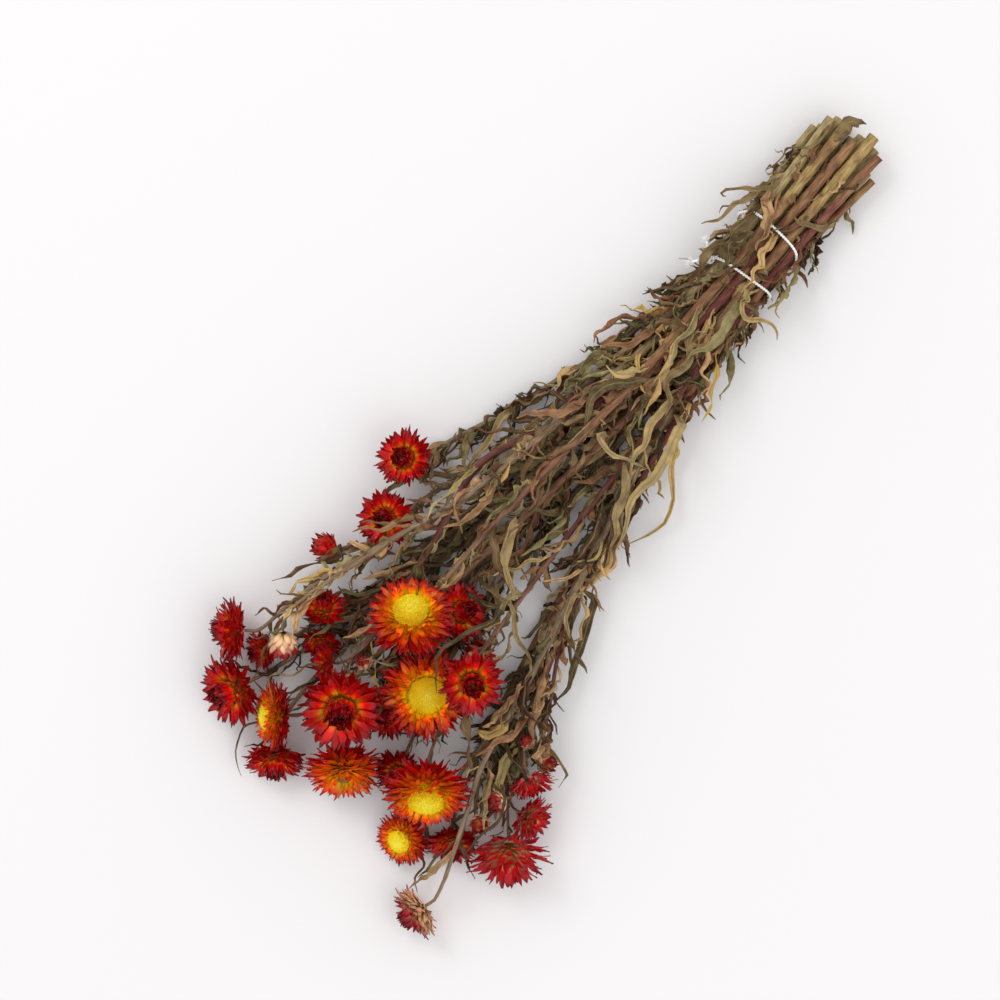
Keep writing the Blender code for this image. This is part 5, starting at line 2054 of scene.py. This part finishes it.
            # Leaves low in the bunch get painted shade: their tone is lowered the nearer they lie to the table,
            # standing in for the shade under the leaves above them
            painted_shade = self.painted_shade_tone * max(0.0, 1 - leaf.points[2].z / self.painted_shade_below)
            tone, kind = leaf.tone, self.marked_kind
            if not leaf.marked:
                tone = min(1.0, max(self.darkest, self.rng.gauss(*self.tones) - painted_shade))
                kind = min(1.0, max(0.0, self.rng.gauss(*self.kinds)))
            self.foliage.lay(columns, rows, self.leaf_place(leaf, rows), tone, kind)

    def build(self) -> None:
        """Makes both pieces, which replace the stem's plain solid."""
        for strand in self.strands:
            self.skin(strand)
        self.bark.close(self.seam, slot=1)
        self.make_leaves()
        self.bark.finish(self.name, self.stem.bark.value)
        self.foliage.finish(self.name, self.stem.bark.value, self.leaf_thickness)
        LOG.info("%s: %s strands, %s leaves", self.name, len(self.strands), len(self.leaves))


@dataclass
class Twine:
    """The white cotton string: two twisted plies in two turns, a cross strand, a knot and frayed ends."""

    layout: Layout
    palette: Palette
    ply_radius: float = 0.5
    ply_offset: float = 0.36
    pitch: float = 3.4
    step: float = 0.42
    sides: int = 7
    loops: tuple[float, ...] = (0.3, 1.5, 2.6)
    loop_size: Span = (1.5, 1.7)
    loop_steps: int = 18
    loop_apart: float = 0.4
    loop_sunk: float = 0.8
    cut_at: float = 0.8
    frayed_at: float = 0.78
    fibres: int = 70
    fibre_radius: float = 0.09
    fibre_spread: float = 0.45
    fibre_stray: float = 0.9
    fibre_sag: float = 0.4
    fibre_reach: Span = (0.8, 2.0)
    fibre_end: Span = (0.5, 1.6)
    knot_fray: tuple[float, float, float] = (0.4, -0.7, 0.2)
    turn_fray: tuple[float, float, float] = (-0.5, -0.8, 0.3)
    seam: float = 0.004

    def __post_init__(self) -> None:
        """Starts the piece."""
        self.tie = self.layout.tie
        self.rng = random.Random(SEED + 200)
        self.piece = Piece("string_twine", [self.palette.string])

    def thread(
        self, points: Sequence[Vector], radius: float, offset: float = 0.0, turn: float = 0.0, closed: bool = False
    ) -> None:
        """Lays one ply along a route.

        Args:
            points: The route.
            radius: The ply's radius.
            offset: How far its middle is from the route.
            turn: Where it starts round the route.
            closed: Whether the route comes back to its start.
        """
        route = np.array([tuple(p) for p in ([*points, points[0]] if closed else points)])
        length = float(walked_to(route)[-1])
        rings = max(3, int(length / self.step))
        twists = max(1, round(length / self.pitch)) * math.tau
        line = [Vector(p) for p in evenly(route, rings + 1)]

        def place(u: float, v: float) -> Vector:
            """Places a point.

            Args:
                u: Its share of the way round.
                v: Its share of the way along.

            Returns:
                Its place.
            """
            index = round(v * rings)
            before, after = line[max(index - 1, 0)], line[min(index + 1, rings)]
            if closed and index in (0, rings):
                before, after = line[rings - 1], line[1]
            ahead = (after - before).normalized()
            side = ahead.cross(Vector((1, 0, 0)) if abs(ahead.x) < 0.9 else Vector((0, 0, 1))).normalized()
            up = ahead.cross(side)
            around = turn + twists * v
            middle = line[index] + (side * math.cos(around) + up * math.sin(around)) * offset
            angle = u * math.tau
            return middle + (side * math.cos(angle) + up * math.sin(angle)) * radius

        self.piece.lay(self.sides, rings, place)

    def string(self, points: Sequence[Vector], closed: bool = False) -> None:
        """Lays both plies along a route, half a turn apart."""
        for turn in (0.0, math.pi):
            self.thread(points, self.ply_radius, self.ply_offset, turn, closed)

    def fray(self, start: Vector, way: Vector) -> None:
        """Fans loose fibres out of a cut end.

        Args:
            start: Where they begin.
            way: The way that the string runs there.
        """
        for _ in range(self.fibres):
            spread = Vector([self.rng.gauss(0, self.fibre_spread) for _ in range(3)])
            stray = Vector([self.rng.gauss(0, self.fibre_stray) for _ in range(3)])
            sag = Vector((0, 0, -self.fibre_sag))
            first = start + (way + spread) * self.rng.uniform(*self.fibre_reach)
            last = first + (way * 0.6 + spread + stray + sag) * self.rng.uniform(*self.fibre_end)
            for point in (first, last):
                point.z = max(point.z, self.fibre_sag)
            self.thread([start, first, last], self.fibre_radius)

    def tie_knot(self, knot: Vector, out: Vector) -> None:
        """Winds the knot's loops round each other.

        Args:
            knot: The knot's middle.
            out: The way out of the bunch.
        """
        wide, tall = self.loop_size
        for k, angle in enumerate(self.loops):
            tilt = Matrix.Rotation(angle, 3, Vector((1, 0, 0)))
            around = np.linspace(0, math.tau, self.loop_steps, endpoint=False)
            ring = [Vector((math.cos(t) * wide, math.sin(t) * tall, self.loop_apart * k)) for t in around]
            self.string([knot - out * self.loop_sunk + tilt @ point for point in ring], closed=True)

    def build(self) -> None:
        """Makes the string, which replaces its plain solid."""
        tie = self.tie
        first, _, out, knot = tie.knot()
        for turn, bow in zip(tie.turns, tie.bows, strict=True):
            self.string(tie.ring(*turn, fine=True, bow=bow), closed=True)
        self.string(tie.cross())
        self.tie_knot(knot, out)
        for end in map(Vector, tie.ends):
            self.string(tie.tail(end, self.cut_at))
            self.fray(knot + end * self.frayed_at, end.normalized())
        self.fray(knot, Vector(self.knot_fray))
        self.fray(first + out, Vector(self.turn_fray))
        self.piece.close(self.seam)
        obj = self.piece.finish("tie", "string")
        LOG.info("string: %s faces", len(obj.data.polygons))


@dataclass(frozen=True)
class Lamp:
    """A square area light: its place to the picture's right and top and over the table, its side and power."""

    name: str
    right: float
    up: float
    height: float
    side: float
    watts: float


@dataclass(frozen=True)
class Studio:
    """A white table, soft light from the upper left of the picture, and a camera straight above."""

    height: float = 1.8
    foot: Span = (190.8, -27.1)
    view: float = 0.55
    sensor: float = 36.0
    right: Span = (-0.631, 0.776)
    up: Span = (-0.776, -0.631)
    sheet: str = "#e7e5e6"
    sheet_half: float = 4.0
    lamps: tuple[Lamp, ...] = (
        Lamp("key", -1.1, 1.2, 1.9, 1.0, 14.0),
        Lamp("fill", 1.2, -1.0, 2.2, 2.4, 14.0),
    )
    sky: str = "#ffffff"
    sky_strength: float = 0.935

    def make_camera(self) -> None:
        """The camera, which looks straight down with the bunch's length across the picture's corners."""
        data = bpy.data.cameras.new("camera")
        data.sensor_width = self.sensor
        data.lens = self.sensor * self.height / self.view
        camera = bpy.data.objects.new("camera", data)
        bpy.context.scene.collection.objects.link(camera)
        right = Vector((*self.right, 0)).normalized()
        up = Vector((*self.up, 0)).normalized()
        turn = Matrix((right, up, Vector((0, 0, 1)))).transposed().to_4x4()
        foot = to_world(Vector((*self.foot, 0)))
        camera.matrix_world = Matrix.Translation(foot + Vector((0, 0, self.height))) @ turn
        bpy.context.scene.camera = camera

    def make_table(self) -> None:
        """A large white sheet."""
        bm = bmesh.new()
        bmesh.ops.create_grid(bm, x_segments=1, y_segments=1, size=self.sheet_half)
        mesh = bpy.data.meshes.new("table")
        bm.to_mesh(mesh)
        bm.free()
        table = bpy.data.objects.new("table", mesh)
        bpy.context.scene.collection.objects.link(table)
        surface = Surface("matte white sheet", 0.9, 0.1)
        surface.shader.inputs["Base Color"].default_value = linear(self.sheet)
        mesh.materials.append(surface.material)

    def add_lamp(self, lamp: Lamp) -> None:
        """Hangs a lamp, which points at the middle of the model's frame.

        Args:
            lamp: Its place, size and power.
        """
        data = bpy.data.lights.new(lamp.name, "AREA")
        data.shape = "SQUARE"
        data.size = lamp.side
        data.energy = lamp.watts
        light = bpy.data.objects.new(lamp.name, data)
        bpy.context.scene.collection.objects.link(light)
        level = Vector((*self.right, 0)) * lamp.right + Vector((*self.up, 0)) * lamp.up
        light.location = level + Vector((0, 0, lamp.height))
        light.rotation_euler = light.location.to_track_quat("Z", "Y").to_euler()

    def build(self) -> None:
        """Makes the camera, the table, the lamps and the pale surroundings, and sets a plain view."""
        self.make_camera()
        self.make_table()
        for lamp in self.lamps:
            self.add_lamp(lamp)
        world = bpy.data.worlds.new("studio")
        world.use_nodes = True
        background = world.node_tree.nodes["Background"]
        background.inputs["Color"].default_value = linear(self.sky)
        background.inputs["Strength"].default_value = self.sky_strength
        scene = bpy.context.scene
        scene.world = world
        scene.view_settings.view_transform = "Standard"
        scene.view_settings.look = "None"


def write_sizes() -> None:
    """Updates the view layer.
    """
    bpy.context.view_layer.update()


def main() -> None:
    """Builds the studio, the heads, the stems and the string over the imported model."""
    logging.basicConfig(level=logging.INFO, format="%(name)s: %(message)s", stream=sys.stdout)
    # Blender seeds its noise vectors from the clock, so that creases would differ from run to run
    noise.seed_set(SEED)
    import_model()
    Studio().build()
    palette = Palette()
    layout = Layout()
    for name, bloom in BLOOMS.items():
        FlowerHead(name, bloom, palette).build()
    for name in STEMS:
        LeafyStem(name, layout, palette).build()
    Twine(layout, palette).build()
    write_sizes()


if __name__ == "__main__":
    main()
